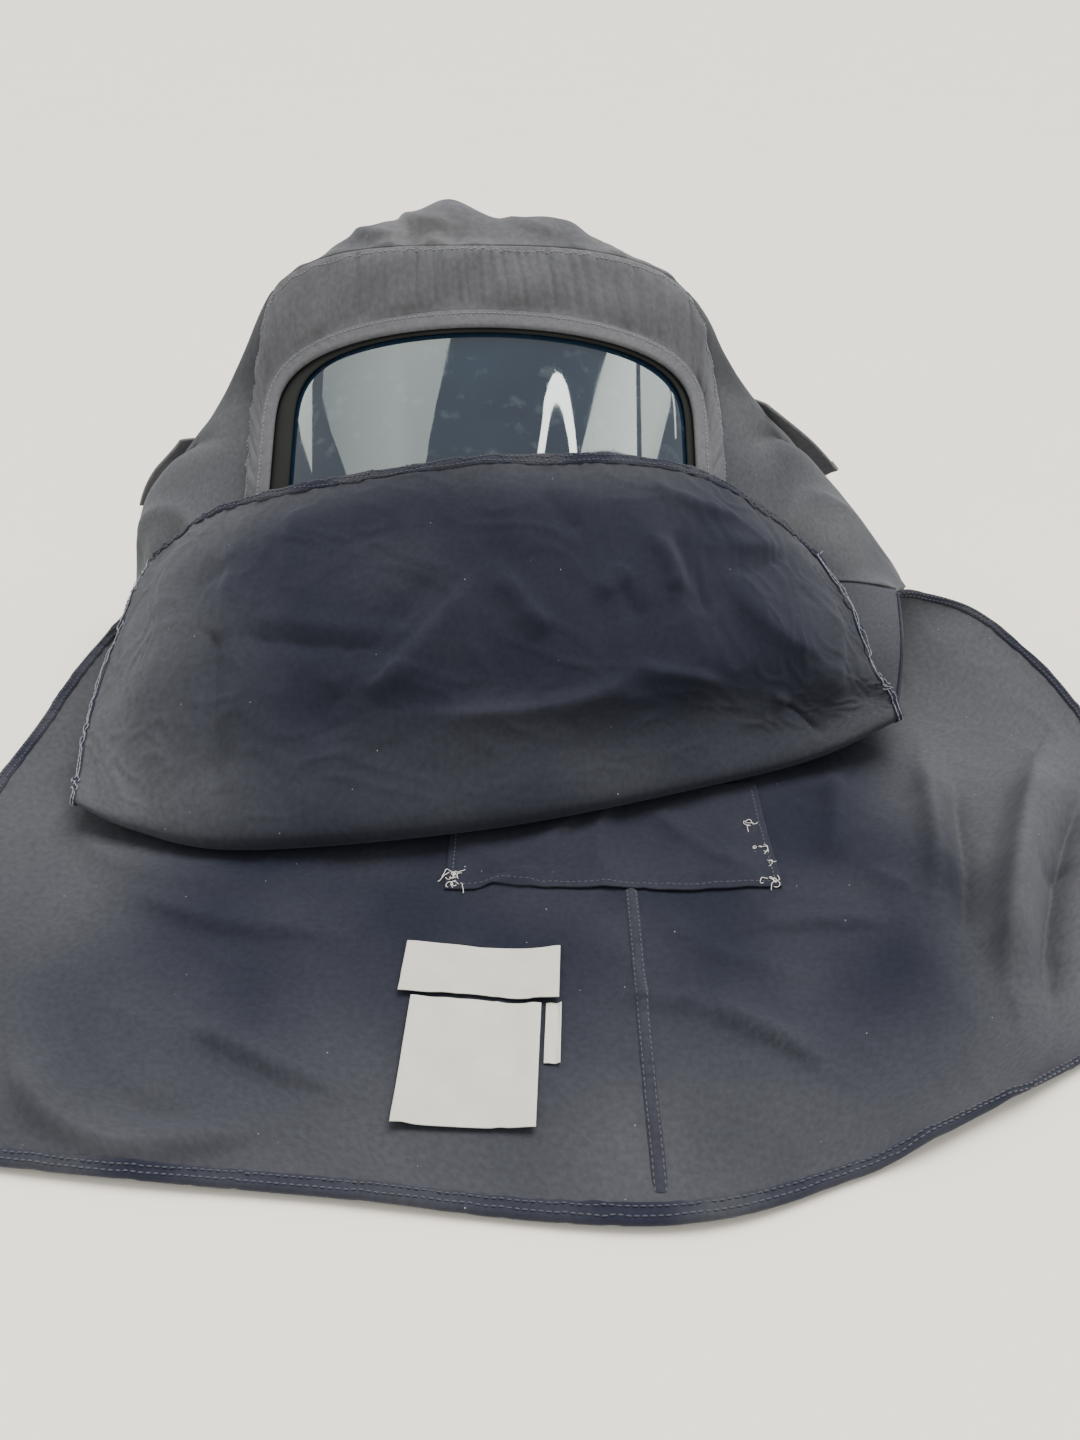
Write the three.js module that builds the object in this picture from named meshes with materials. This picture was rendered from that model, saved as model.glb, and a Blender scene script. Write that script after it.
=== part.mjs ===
// An arc flash hood that lies on its back, with its front bib folded back up over the window.
// Millimetres, +Z up. +Y runs from the bib's hem to the crown, and the back of the hood lies on Z = 0.
import * as THREE from 'three';

// Overall reach of the cloth. The section tables below hold shares of these three.
const HALF_WIDTH = 350;
const HALF_LENGTH = 325;
const HEIGHT = 300;

// Cloth and sheet thicknesses.
const CLOTH = 2.6;
const TRIM = 1.4;
const LABEL = 0.9;
const GASKET = 2.2;
const LENS = 2.4;

// Clearances: between two layers, at the edge of a panel that meets another, where the panels crease,
// and between the labels.
const GAP = 0.35;
const EDGE_DRAW = 0.21;
const SEAM_GAP = 1;
const LABEL_GAP = 2;

// The window in the front: a rounded opening on a surface that bends around the face.
const WINDOW = { width: 316, height: 150, corner: 4.6, bend: 250, slope: 38 };
const WINDOW_CENTRE = { x: -0.126, y: 0.338, z: 0.653 };
const GASKET_SHOWS = { side: 21, end: 7 };
const GASKET_HIDDEN = 7;
const LENS_SEAT = 5;
const SURROUND_SWELL = 3;
const CREASE = 0.03;

// Widths of the turned edges, and the seam down the middle of the back bib.
const WINDOW_HEM = 12;
const BIB_HEM = 12;
const SEAM_WIDTH = 7;

// The patch and the labels on the back bib, which lies flat under them. The places of their middles are
// shares of the half sizes. The lower labels hang from the upper one.
const PATCH = { width: 194, length: 96, x: 0.106, y: -0.234, turn: 0 };
const UPPER_LABEL = { width: 83, length: 36, x: -0.103, y: -0.569, turn: -2 };
const LOWER_LABEL = { width: 67, length: 74, right: -3, turn: -2 };
const UNDER_LABEL = { width: 8, length: 40, right: 37.5, turn: -2 };

// Corners of the rear flap that stand out behind the two sides.
const REAR_FLAPS = [
  { name: 'rear_flap_left', root: 0.23, corner: 0.115, front: 0.33, rear: 0.41, lift: 9 },
  { name: 'rear_flap_right', root: 0.75, corner: 0.885, front: 0.33, rear: 0.41, lift: 17 },
];

// Numbers of cells: over a side, over the window, beside it and out from it, and in the other pieces.
const CELLS = {
  side: 6, window: 16, beside: 6, out: 4, crown: 7, bib: 18, backAcross: 20, backBib: 14, backPanel: 10,
  flap: 5, lens: 5,
};

// Lines that every section crosses, from the left foot over the ridge to the right foot.
const LINES = [
  'left_foot', 'left_shoulder', 'left_edge', 'ridge', 'right_edge', 'right_shoulder', 'right_foot',
];

// The hood from the window's sill over the crown to the floor behind it.
const HOOD_SECTIONS = [
  { name: 'sill',
    x: [-0.857, -0.760, -0.610, -0.126, 0.357, 0.586, 0.729],
    y: [0.345, 0.308, 0.271, 0.095, 0.271, 0.330, 0.380],
    z: [0.200, 0.260, 0.283, 0.440, 0.283, 0.275, 0.225] },
  { name: 'middle',
    x: [-0.903, -0.800, -0.612, -0.126, 0.360, 0.560, 0.785],
    y: [0.462, 0.450, 0.470, 0.338, 0.470, 0.470, 0.486],
    z: [0.125, 0.350, 0.460, 0.653, 0.465, 0.410, 0.165] },
  { name: 'lintel',
    x: [-0.920, -0.825, -0.606, -0.126, 0.351, 0.540, 0.811],
    y: [0.615, 0.592, 0.630, 0.520, 0.628, 0.602, 0.615],
    z: [0.075, 0.420, 0.610, 0.807, 0.625, 0.485, 0.105] },
  { name: 'brow',
    x: [-0.874, -0.670, -0.554, -0.140, 0.280, 0.410, 0.749],
    y: [0.769, 0.742, 0.702, 0.628, 0.695, 0.748, 0.769],
    z: [0.045, 0.280, 0.835, 0.950, 0.835, 0.310, 0.055] },
  { name: 'crown',
    x: [-0.749, -0.590, -0.480, -0.149, 0.196, 0.326, 0.586],
    y: [0.911, 0.880, 0.846, 0.794, 0.837, 0.877, 0.911],
    z: [0.040, 0.240, 0.710, 0.955, 0.725, 0.250, 0.040] },
  { name: 'back',
    x: [-0.571, -0.510, -0.377, -0.149, 0.080, 0.223, 0.357],
    y: [0.972, 0.972, 0.978, 0.960, 0.978, 0.975, 0.972],
    z: [0.040, 0.220, 0.540, 0.730, 0.545, 0.225, 0.040] },
  { name: 'tail',
    x: [-0.400, -0.350, -0.257, -0.143, -0.029, 0.070, 0.129],
    y: [0.985, 0.992, 1.000, 1.000, 1.000, 0.992, 0.985],
    z: [0.050, 0.150, 0.260, 0.320, 0.260, 0.150, 0.050] },
];

// The front bib from the sill down to its fold and back up to the hem that lies on the window.
const FRONT_BIB_SECTIONS = [
  { name: 'under',
    x: [-0.857, -0.745, -0.543, -0.109, 0.317, 0.545, 0.700],
    y: [0.130, 0.070, 0.010, -0.040, 0.030, 0.120, 0.200],
    z: [0.150, 0.175, 0.215, 0.240, 0.215, 0.185, 0.190] },
  { name: 'low',
    x: [-0.829, -0.717, -0.520, -0.091, 0.297, 0.509, 0.669],
    y: [-0.140, -0.185, -0.230, -0.180, -0.055, 0.015, 0.060],
    z: [0.080, 0.045, 0.030, 0.038, 0.038, 0.044, 0.110] },
  { name: 'nose',
    x: [-0.817, -0.706, -0.517, -0.091, 0.297, 0.509, 0.660],
    y: [-0.222, -0.265, -0.300, -0.255, -0.125, -0.040, 0.010],
    z: [0.100, 0.075, 0.070, 0.080, 0.070, 0.075, 0.133] },
  { name: 'over',
    x: [-0.826, -0.709, -0.514, -0.097, 0.286, 0.497, 0.649],
    y: [-0.140, -0.180, -0.202, -0.170, -0.050, 0.010, 0.045],
    z: [0.125, 0.145, 0.170, 0.195, 0.170, 0.140, 0.160] },
  { name: 'flap',
    x: [-0.826, -0.703, -0.509, -0.109, 0.263, 0.466, 0.617],
    y: [0.025, -0.015, -0.037, -0.055, 0.000, 0.055, 0.080],
    z: [0.190, 0.270, 0.320, 0.350, 0.315, 0.255, 0.200] },
  { name: 'crest',
    x: [-0.803, -0.686, -0.491, -0.120, 0.237, 0.431, 0.583],
    y: [0.175, 0.200, 0.175, 0.130, 0.200, 0.220, 0.190],
    z: [0.290, 0.380, 0.450, 0.515, 0.470, 0.385, 0.285] },
  { name: 'hem',
    x: [-0.771, -0.663, -0.480, -0.129, 0.214, 0.400, 0.531],
    y: [0.265, 0.326, 0.308, 0.262, 0.360, 0.369, 0.302],
    z: [0.360, 0.443, 0.520, 0.606, 0.560, 0.460, 0.355] },
];

// The back bib, from its lower hem up to the arches at the sides of the neck.
const BACK_BIB_SECTIONS = [
  { name: 'hem',
    x: [-0.829, -0.560, -0.300, 0.135, 0.380, 0.580, 0.815],
    y: [-0.895, -0.930, -0.955, -0.998, -0.930, -0.835, -0.700],
    z: [0.000, 0.000, 0.000, 0.000, 0.000, 0.000, 0.000] },
  { name: 'low',
    x: [-0.943, -0.680, -0.400, 0.128, 0.465, 0.740, 0.929],
    y: [-0.680, -0.720, -0.735, -0.755, -0.735, -0.680, -0.580],
    z: [0.010, 0.000, 0.000, 0.000, 0.000, 0.010, 0.020] },
  { name: 'skirt',
    x: [-0.994, -0.710, -0.415, 0.121, 0.490, 0.810, 1.011],
    y: [-0.430, -0.465, -0.480, -0.490, -0.485, -0.440, -0.290],
    z: [0.030, -0.010, 0.000, 0.000, 0.000, 0.055, 0.065] },
  { name: 'flare',
    x: [-0.989, -0.710, -0.415, 0.113, 0.490, 0.820, 1.023],
    y: [-0.165, -0.215, -0.235, -0.250, -0.240, -0.190, -0.010],
    z: [0.050, -0.015, 0.000, 0.000, 0.000, 0.060, 0.080] },
  { name: 'waist',
    x: [-0.971, -0.700, -0.410, 0.105, 0.480, 0.800, 1.006],
    y: [0.080, 0.010, -0.030, -0.045, -0.030, 0.015, 0.215],
    z: [0.065, -0.015, 0.000, 0.000, 0.000, 0.020, 0.090] },
  { name: 'wing',
    x: [-0.931, -0.680, -0.400, 0.100, 0.450, 0.740, 0.903],
    y: [0.300, 0.205, 0.170, 0.155, 0.160, 0.195, 0.395],
    z: [0.105, -0.010, 0.000, 0.000, 0.000, 0.020, 0.140] },
  { name: 'arch',
    x: [-0.857, -0.640, -0.380, 0.090, 0.380, 0.600, 0.729],
    y: [0.345, 0.325, 0.320, 0.315, 0.320, 0.335, 0.380],
    z: [0.182, 0.000, 0.000, 0.000, 0.000, 0.040, 0.207] },
];

// Raised folds: from and to are shares of the half sizes, height and width are millimetres.
const BACK_BIB_FOLDS = [
  { x0: 0.86, y0: -0.05, x1: 0.62, y1: -0.62, height: 15, width: 17 },
  { x0: 0.62, y0: 0.10, x1: 0.66, y1: -0.20, height: 9, width: 13 },
  { x0: 0.30, y0: -0.58, x1: 0.50, y1: -0.72, height: 6, width: 12 },
  { x0: -0.92, y0: -0.60, x1: -0.55, y1: -0.74, height: 7, width: 13 },
  { x0: -0.72, y0: -0.52, x1: -0.48, y1: -0.64, height: 5, width: 11 },
];
const FRONT_BIB_FOLDS = [
  { x0: -0.56, y0: 0.10, x1: -0.54, y1: -0.16, height: -6, width: 12 },
  { x0: -0.40, y0: -0.02, x1: -0.18, y1: -0.02, height: -5, width: 11 },
  { x0: -0.09, y0: 0.14, x1: -0.26, y1: -0.11, height: 7, width: 12 },
  { x0: 0.02, y0: -0.09, x1: 0.34, y1: -0.06, height: 6, width: 11 },
  { x0: 0.16, y0: 0.24, x1: 0.30, y1: 0.15, height: 6, width: 10 },
  { x0: 0.32, y0: 0.30, x1: 0.46, y1: 0.17, height: 6, width: 10 },
];

// Bumps where the crown is gathered to the brow seam: across and along are shares of the panel. They rise
// from nothing within the given shares of the brow seam and the side seams.
const BUMP_START = { brow: 0.15, side: 0.1 };
const CROWN_BUMPS = [
  { across: 0.26, along: 0.22, height: 7, width: 0.11 },
  { across: 0.43, along: 0.26, height: 15, width: 0.09 },
  { across: 0.70, along: 0.20, height: 9, width: 0.10 },
];

const clothMaterial = (color) => new THREE.MeshStandardMaterial({ color, roughness: 0.85, metalness: 0 });
const MATERIALS = {
  cloth: clothMaterial('#3a3d50'),
  trim: clothMaterial('#44475a'),
  label: clothMaterial('#d6d8d2'),
  gasket: new THREE.MeshStandardMaterial({ color: '#2b2d2c', roughness: 0.6, metalness: 0 }),
  lens: new THREE.MeshStandardMaterial({ color: '#2a3644', roughness: 0.08, metalness: 0 }),
};

const RADIANS = Math.PI / 180;

function mix(a, b, t) {
  return a + (b - a) * t;
}

function smooth(t) {
  const c = Math.min(1, Math.max(0, t));
  return c * c * (3 - 2 * c);
}

function bell(distance, width) {
  return Math.exp(-(distance * distance) / (width * width));
}

// A smooth curve through evenly spaced values, at t from 0 to 1.
function through(values, t) {
  const last = values.length - 1;
  const place = Math.min(1, Math.max(0, t)) * last;
  const i = Math.min(last - 1, Math.floor(place));
  const f = place - i;
  const before = values[Math.max(0, i - 1)];
  const after = values[Math.min(last, i + 2)];
  const start = (values[i + 1] - before) / 2;
  const end = (after - values[i]) / 2;
  const rise = values[i + 1] - values[i];
  return values[i] + f * (start + f * (3 * rise - 2 * start - end + f * (start + end - 2 * rise)));
}

// A surface through sections: s goes across them from left to right, t from the first to the last.
function loft(sections) {
  const along = (axis, s, t) => through(sections.map((section) => through(section[axis], s)), t);
  return (s, t) => new THREE.Vector3(
    along('x', s, t) * HALF_WIDTH,
    along('y', s, t) * HALF_LENGTH,
    along('z', s, t) * HEIGHT,
  );
}

function foldHeight(folds, point) {
  let sum = 0;
  for (const fold of folds) {
    const from = new THREE.Vector2(fold.x0 * HALF_WIDTH, fold.y0 * HALF_LENGTH);
    const run = new THREE.Vector2(fold.x1 * HALF_WIDTH, fold.y1 * HALF_LENGTH).sub(from);
    const to = new THREE.Vector2(point.x, point.y).sub(from);
    const share = Math.min(1, Math.max(0, to.dot(run) / run.lengthSq()));
    const distance = to.sub(run.multiplyScalar(share)).length();
    sum += fold.height * bell(distance, fold.width);
  }
  return sum;
}

// The face of the window, bent around the wearer: across it, up it, and out of it.
function face(across, up) {
  const angle = across / WINDOW.bend;
  const slope = WINDOW.slope * RADIANS;
  const back = WINDOW.bend * (1 - Math.cos(angle));
  return new THREE.Vector3(
    WINDOW_CENTRE.x * HALF_WIDTH + WINDOW.bend * Math.sin(angle),
    WINDOW_CENTRE.y * HALF_LENGTH + up * Math.cos(slope) + back * Math.sin(slope),
    WINDOW_CENTRE.z * HEIGHT + up * Math.sin(slope) - back * Math.cos(slope),
  );
}

function faceNormal(point) {
  const slope = WINDOW.slope * RADIANS;
  const sine = (point.x - WINDOW_CENTRE.x * HALF_WIDTH) / WINDOW.bend;
  const cosine = Math.sqrt(1 - sine * sine);
  return new THREE.Vector3(sine, -Math.sin(slope) * cosine, Math.cos(slope) * cosine);
}

// Places around a square from -1 to 1, starting at its lower left corner and going up the left side.
function aroundSquare() {
  const places = [];
  const side = CELLS.beside;
  const end = CELLS.window;
  for (let i = 0; i < side; i += 1) places.push([-1, mix(-1, 1, i / side)]);
  for (let i = 0; i < end; i += 1) places.push([mix(-1, 1, i / end), 1]);
  for (let i = 0; i < side; i += 1) places.push([1, mix(1, -1, i / side)]);
  for (let i = 0; i < end; i += 1) places.push([mix(1, -1, i / end), -1]);
  return places;
}

const AROUND = aroundSquare();

// The window's outline, grown by side and end beyond the opening, at one place around it.
function outline(place, side, end) {
  const [a, b] = AROUND[place];
  const round = (Math.abs(a) ** WINDOW.corner + Math.abs(b) ** WINDOW.corner) ** (-1 / WINDOW.corner);
  return [a * round * (WINDOW.width / 2 + side), b * round * (WINDOW.height / 2 + end)];
}

// Points and normals over a surface, at lists of s and t. A normal is square to the surface itself.
const NORMAL_STEP = 0.002;

function cellsOn(surface, across, along) {
  const step = NORMAL_STEP;
  const rows = along.map((t) => across.map((s) => surface(s, t)));
  const normals = along.map((t) => across.map((s) => {
    const right = surface(Math.min(1, s + step), t).sub(surface(Math.max(0, s - step), t));
    const on = surface(s, Math.min(1, t + step)).sub(surface(s, Math.max(0, t - step)));
    return right.cross(on).normalize();
  }));
  return { rows, normals };
}

// Draws the outermost points in, so that two panels that meet keep their gap. Sides: 'first row' and so on.
function drawIn(cells, sides, distance = EDGE_DRAW) {
  const { rows } = cells;
  const high = rows.length - 1;
  const wide = rows[0].length - 1;
  const pull = (point, towards) => {
    point.addScaledVector(towards.clone().sub(point).normalize(), distance);
  };
  if (sides.includes('first row')) rows[0].forEach((point, j) => pull(point, rows[1][j]));
  if (sides.includes('last row')) rows[high].forEach((point, j) => pull(point, rows[high - 1][j]));
  if (sides.includes('first column')) rows.forEach((row) => pull(row[0], row[1]));
  if (sides.includes('last column')) rows.forEach((row) => pull(row[wide], row[wide - 1]));
  return cells;
}

// A closed body between two offsets from the cells that keep() picks. A ring's rows close on themselves,
// and all the points of a disc's first row are one.
function layer(cells, from, to, keep = () => true) {
  const { rows, normals, ring = false, disc = false } = cells;
  const high = rows.length - 1;
  const columns = rows[0].length;
  const wide = ring ? columns : columns - 1;
  const positions = [];
  const indices = [];
  const known = new Map();
  const kept = (i, j) => {
    if (i < 0 || i >= high || (!ring && (j < 0 || j >= wide))) return false;
    return keep(i, (j + wide) % wide);
  };
  const corner = (i, j, offset) => {
    const column = disc && i === 0 ? 0 : j % columns;
    const key = `${i} ${column} ${offset}`;
    if (!known.has(key)) {
      const point = rows[i][column].clone().addScaledVector(normals[i][column], offset);
      known.set(key, positions.length / 3);
      positions.push(point.x, point.y, point.z);
    }
    return known.get(key);
  };
  const triangle = (a, b, c) => {
    if (a !== b && b !== c && c !== a) indices.push(a, b, c);
  };
  const quad = (a, b, c, d) => {
    triangle(a, b, c);
    triangle(a, c, d);
  };
  for (let i = 0; i < high; i += 1) {
    for (let j = 0; j < wide; j += 1) {
      if (!kept(i, j)) continue;
      const places = [[i, j], [i, j + 1], [i + 1, j + 1], [i + 1, j]];
      const top = places.map(([row, column]) => corner(row, column, to));
      const low = places.map(([row, column]) => corner(row, column, from));
      quad(top[0], top[1], top[2], top[3]);
      quad(low[0], low[3], low[2], low[1]);
      if (!kept(i - 1, j) && !(disc && i === 0)) quad(low[0], low[1], top[1], top[0]);
      if (!kept(i, j + 1)) quad(low[1], low[2], top[2], top[1]);
      if (!kept(i + 1, j)) quad(low[2], low[3], top[3], top[2]);
      if (!kept(i, j - 1)) quad(low[3], low[0], top[0], top[3]);
    }
  }
  const geometry = new THREE.BufferGeometry();
  geometry.setAttribute('position', new THREE.Float32BufferAttribute(positions, 3));
  geometry.setIndex(indices);
  geometry.computeVertexNormals();
  return geometry;
}

function steps(from, to, count) {
  return Array.from({ length: count + 1 }, (_, i) => mix(from, to, i / count));
}

// Where the lines and sections of the tables lie, as shares of a surface's s and t.
const lineShare = (name) => LINES.indexOf(name) / (LINES.length - 1);
const sectionShare = (sections, name) => (
  sections.findIndex((section) => section.name === name) / (sections.length - 1));

const LEFT_EDGE = lineShare('left_edge');
const RIGHT_EDGE = lineShare('right_edge');
const BROW = sectionShare(HOOD_SECTIONS, 'brow');

// The panels stop just short of the foot and the tail, where the cloth on the floor turns up around them.
const FOOT_SHORT = 0.004;
const TAIL_SHORT = 0.002;
const FLOOR_IN = { y: 0.02, z: 0.012 };
const TAIL_IN = { x: 0.985, y: 0.011 };

const hoodSkin = loft(HOOD_SECTIONS);
const halfCloth = CLOTH / 2;

// A hem takes the first cell in from an edge: its width as a share, measured at the given place.
function hemShare(surface, at, towards) {
  const step = 0.02;
  const from = surface(...at);
  const to = surface(at[0] + towards[0] * step, at[1] + towards[1] * step);
  return (step * BIB_HEM) / from.distanceTo(to);
}

// The front bib goes on from the sill of the hood. Folds lie on the part above the nose of its turn.
const frontBibSections = [HOOD_SECTIONS[0], ...FRONT_BIB_SECTIONS];
const frontBibLoft = loft(frontBibSections);
const TURN = sectionShare(frontBibSections, 'nose');
const OVER = sectionShare(frontBibSections, 'over');

function frontBib(s, t) {
  const point = frontBibLoft(s, t);
  const flap = smooth((t - TURN) / (OVER - TURN));
  point.z += flap * foldHeight(FRONT_BIB_FOLDS, point);
  return point;
}

const SIDE_HEM = hemShare(frontBib, [0, 0.8], [1, 0]);
const acrossSide = [FOOT_SHORT, ...steps(FOOT_SHORT + SIDE_HEM, LEFT_EDGE, CELLS.side)];
const acrossWindow = steps(LEFT_EDGE, RIGHT_EDGE, CELLS.window);
const acrossFar = acrossSide.map((s) => 1 - s).reverse();
const acrossFront = [...acrossSide, ...acrossWindow.slice(1, -1), ...acrossFar];

const alongCrown = steps(BROW, 1 - TAIL_SHORT, CELLS.crown);
const alongHood = [...steps(0, BROW, CELLS.beside), ...alongCrown.slice(1)];

// A side panel meets the surround along its seam, where both turn over one crease.
function sidePanel(across, seam) {
  const cells = cellsOn(hoodSkin, across, alongHood);
  const onLeft = seam === 'last column';
  const column = onLeft ? across.length - 1 : 0;
  const farSide = 2 * CELLS.beside + CELLS.window;
  for (let i = 1; i < CELLS.beside; i += 1) {
    cells.normals[i][column] = surround.normals[CELLS.out + 1][onLeft ? i : farSide - i];
  }
  return layer(drawIn(cells, ['first row', seam], SEAM_GAP), -halfCloth, halfCloth);
}

// The crown is gathered where it is sewn to the brow, so it stands up in bumps.
function crownSkin(s, t) {
  const point = hoodSkin(s, t);
  const across = (s - LEFT_EDGE) / (RIGHT_EDGE - LEFT_EDGE);
  const along = (t - BROW) / (1 - BROW);
  const fromSides = smooth(across / BUMP_START.side) * smooth((1 - across) / BUMP_START.side);
  const fromSeams = smooth(along / BUMP_START.brow) * fromSides;
  for (const bump of CROWN_BUMPS) {
    const swell = bell(across - bump.across, bump.width) * bell(along - bump.along, 2 * bump.width);
    point.z += bump.height * swell * fromSeams;
  }
  return point;
}

const surround = surroundCells();

function windowHem() {
  return layer(surround, halfCloth + GAP, halfCloth + GAP + TRIM, (i) => i === 0);
}

function crown() {
  const cells = cellsOn(crownSkin, acrossWindow, alongCrown);
  const skin = cellsOn(hoodSkin, acrossWindow, alongCrown);
  cells.normals[0] = skin.normals[0];
  cells.normals.forEach((row, i) => {
    row[0] = skin.normals[i][0];
    row[row.length - 1] = skin.normals[i][row.length - 1];
  });
  return layer(drawIn(cells, ['first row', 'first column', 'last column']), -halfCloth, halfCloth);
}

// The window's surround goes from the opening out to the brow, the edges of the head and the sill.
// Its hem lies on the face of the window, and the rest swells a little on its way out.
function surroundCells() {
  const toSkin = ([a, b]) => [mix(LEFT_EDGE, RIGHT_EDGE, (a + 1) / 2), mix(0, BROW, (b + 1) / 2)];
  const onFace = (growth) => AROUND.map((_, place) => face(...outline(place, growth, growth)));
  const hem = onFace(WINDOW_HEM);
  const out = steps(0, 1, CELLS.out).slice(1).map((share) => AROUND.map((square, place) => {
    const point = hem[place].clone().lerp(hoodSkin(...toSkin(square)), share);
    return point.addScaledVector(faceNormal(hem[place]), SURROUND_SWELL * Math.sin(Math.PI * share));
  }));
  const rows = [onFace(0), hem, ...out];
  const last = AROUND.length;
  const normals = rows.map((row, i) => row.map((point, j) => {
    const across = row[(j + 1) % last].clone().sub(row[(j + last - 1) % last]);
    const outward = rows[Math.min(i + 1, rows.length - 1)][j].clone().sub(rows[Math.max(0, i - 1)][j]);
    return across.cross(outward).normalize();
  }));
  const own = normals[rows.length - 1];
  normals[rows.length - 1] = AROUND.map(([a, b], place) => {
    const [s, t] = toSkin([a, b]);
    const crease = Math.abs(a) === 1 && Math.abs(b) < 1;
    const beyond = crease ? s + a * CREASE : s;
    const skin = cellsOn(hoodSkin, [beyond], [t]).normals[0][0];
    return crease ? skin.add(own[place]).normalize() : skin;
  });
  return drawIn({ rows, normals, ring: true }, ['last row'], GAP);
}

// Rows of the window's outline at several growths, with the normals of the face itself.
function faceRows(growths) {
  const rows = growths.map(([side, end, share]) => AROUND.map((_, place) => {
    const [across, up] = outline(place, side, end);
    return face(across * share, up * share);
  }));
  return { rows, normals: rows.map((row) => row.map(faceNormal)) };
}

const GASKET_TOP = -halfCloth - GAP;
const LENS_TOP = GASKET_TOP - GASKET - 2 * GAP;

function gasket() {
  const { side, end } = GASKET_SHOWS;
  const growths = [[-side, -end, 1], [0, 0, 1], [GASKET_HIDDEN, GASKET_HIDDEN, 1]];
  return layer({ ...faceRows(growths), ring: true }, GASKET_TOP - GASKET, GASKET_TOP);
}

function lens() {
  const side = LENS_SEAT - GASKET_SHOWS.side;
  const end = LENS_SEAT - GASKET_SHOWS.end;
  const growths = steps(0, 1, CELLS.lens).map((share) => [side, end, share]);
  return layer({ ...faceRows(growths), ring: true, disc: true }, LENS_TOP - LENS, LENS_TOP);
}

function frontBibCells() {
  const hem = 1 - hemShare(frontBib, [0.5, 1], [0, -1]);
  const along = [...steps(0, hem, CELLS.bib), 1];
  const cells = cellsOn(frontBib, acrossFront, along);
  cells.normals[0] = cellsOn(hoodSkin, acrossFront, [0]).normals[0].map((normal) => normal.negate());
  return { ...drawIn(cells, ['first row']), along };
}

function frontBibHem(cells) {
  const rows = cells.rows.length - 1;
  const columns = cells.rows[0].length - 1;
  const onHem = (i, j) => cells.along[i] > TURN && (i === rows - 1 || j === 0 || j === columns - 1);
  return layer(cells, halfCloth + GAP, halfCloth + GAP + TRIM, onHem);
}

// The cloth on the floor: nothing of it is below the floor, and its folds stand up from it.
function laid(sections, folds) {
  const surface = loft(sections);
  return (s, t) => {
    const point = surface(s, t);
    point.z = halfCloth + Math.max(0, point.z) + foldHeight(folds, point);
    return point;
  };
}

const backBib = laid(BACK_BIB_SECTIONS, BACK_BIB_FOLDS);

function backBibCells() {
  const side = hemShare(backBib, [0, 0.4], [1, 0]);
  const hem = hemShare(backBib, [0.5, 0], [0, 1]);
  const across = [0, ...steps(side, 1 - side, CELLS.backAcross), 1];
  const along = [0, ...steps(hem, 1, CELLS.backBib)];
  return { ...drawIn(cellsOn(backBib, across, along), ['last row']), across };
}

function backBibHem(cells) {
  const columns = cells.rows[0].length - 1;
  const onHem = (i, j) => i === 0 || j === 0 || j === columns - 1;
  return layer(cells, halfCloth + GAP, halfCloth + GAP + TRIM, onHem);
}

// The back panel runs on from the back bib under the head, and turns up behind it inside the crown.
function backPanel(bibCells) {
  const last = LINES.length - 1;
  const inside = (i) => i > 0 && i < last;
  const onFloor = (section) => ({
    x: LINES.map((_, i) => mix(section.x[0], section.x[last], i / last)),
    y: LINES.map((_, i) => mix(section.y[0], section.y[last], i / last) - (inside(i) ? FLOOR_IN.y : 0)),
    z: LINES.map((_, i) => (inside(i) ? -FLOOR_IN.z : section.z[i] - FLOOR_IN.z)),
  });
  const turnedUp = (section) => ({
    x: section.x.map((x) => x * TAIL_IN.x),
    y: section.y.map((y) => y - TAIL_IN.y),
    z: section.z.map((z, i) => z - (inside(i) ? 0 : FLOOR_IN.z)),
  });
  const arch = BACK_BIB_SECTIONS[BACK_BIB_SECTIONS.length - 1];
  const under = HOOD_SECTIONS.slice(1, -1).map(onFloor);
  const surface = laid([arch, ...under, turnedUp(HOOD_SECTIONS[HOOD_SECTIONS.length - 1])], []);
  const cells = cellsOn(surface, bibCells.across, steps(0, 1, CELLS.backPanel));
  cells.normals[0] = bibCells.normals[bibCells.normals.length - 1];
  return layer(drawIn(cells, ['first row'], GAP), -halfCloth, halfCloth);
}

// A corner of cloth that lies on the side panel at its rear and stands off it in front.
function rearFlap(flap) {
  const surface = (u, v) => {
    const s = mix(flap.root, flap.corner, u);
    const t = mix(flap.front, flap.rear, v);
    const { rows, normals } = cellsOn(hoodSkin, [s], [t]);
    const lift = CLOTH + 2 * GAP + flap.lift * smooth(u) * smooth(1 - v);
    return rows[0][0].addScaledVector(normals[0][0], lift);
  };
  const along = steps(0, 1, CELLS.flap);
  const cells = cellsOn(surface, along, along);
  return layer(cells, -halfCloth, halfCloth);
}

// A flat piece sewn on the back bib, turned a little about its middle, which lies at x and y.
function sewnOn({ width, length, turn }, x, y, thickness) {
  const shape = new THREE.Shape([
    new THREE.Vector2(-width / 2, -length / 2),
    new THREE.Vector2(width / 2, -length / 2),
    new THREE.Vector2(width / 2, length / 2),
    new THREE.Vector2(-width / 2, length / 2),
  ]);
  const geometry = new THREE.ExtrudeGeometry(shape, { depth: thickness, bevelEnabled: false });
  geometry.rotateZ(turn * RADIANS);
  geometry.translate(x, y, CLOTH + GAP);
  return geometry;
}

function patch() {
  return sewnOn(PATCH, PATCH.x * HALF_WIDTH, PATCH.y * HALF_LENGTH, TRIM);
}

function upperLabel() {
  return sewnOn(UPPER_LABEL, UPPER_LABEL.x * HALF_WIDTH, UPPER_LABEL.y * HALF_LENGTH, LABEL);
}

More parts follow.
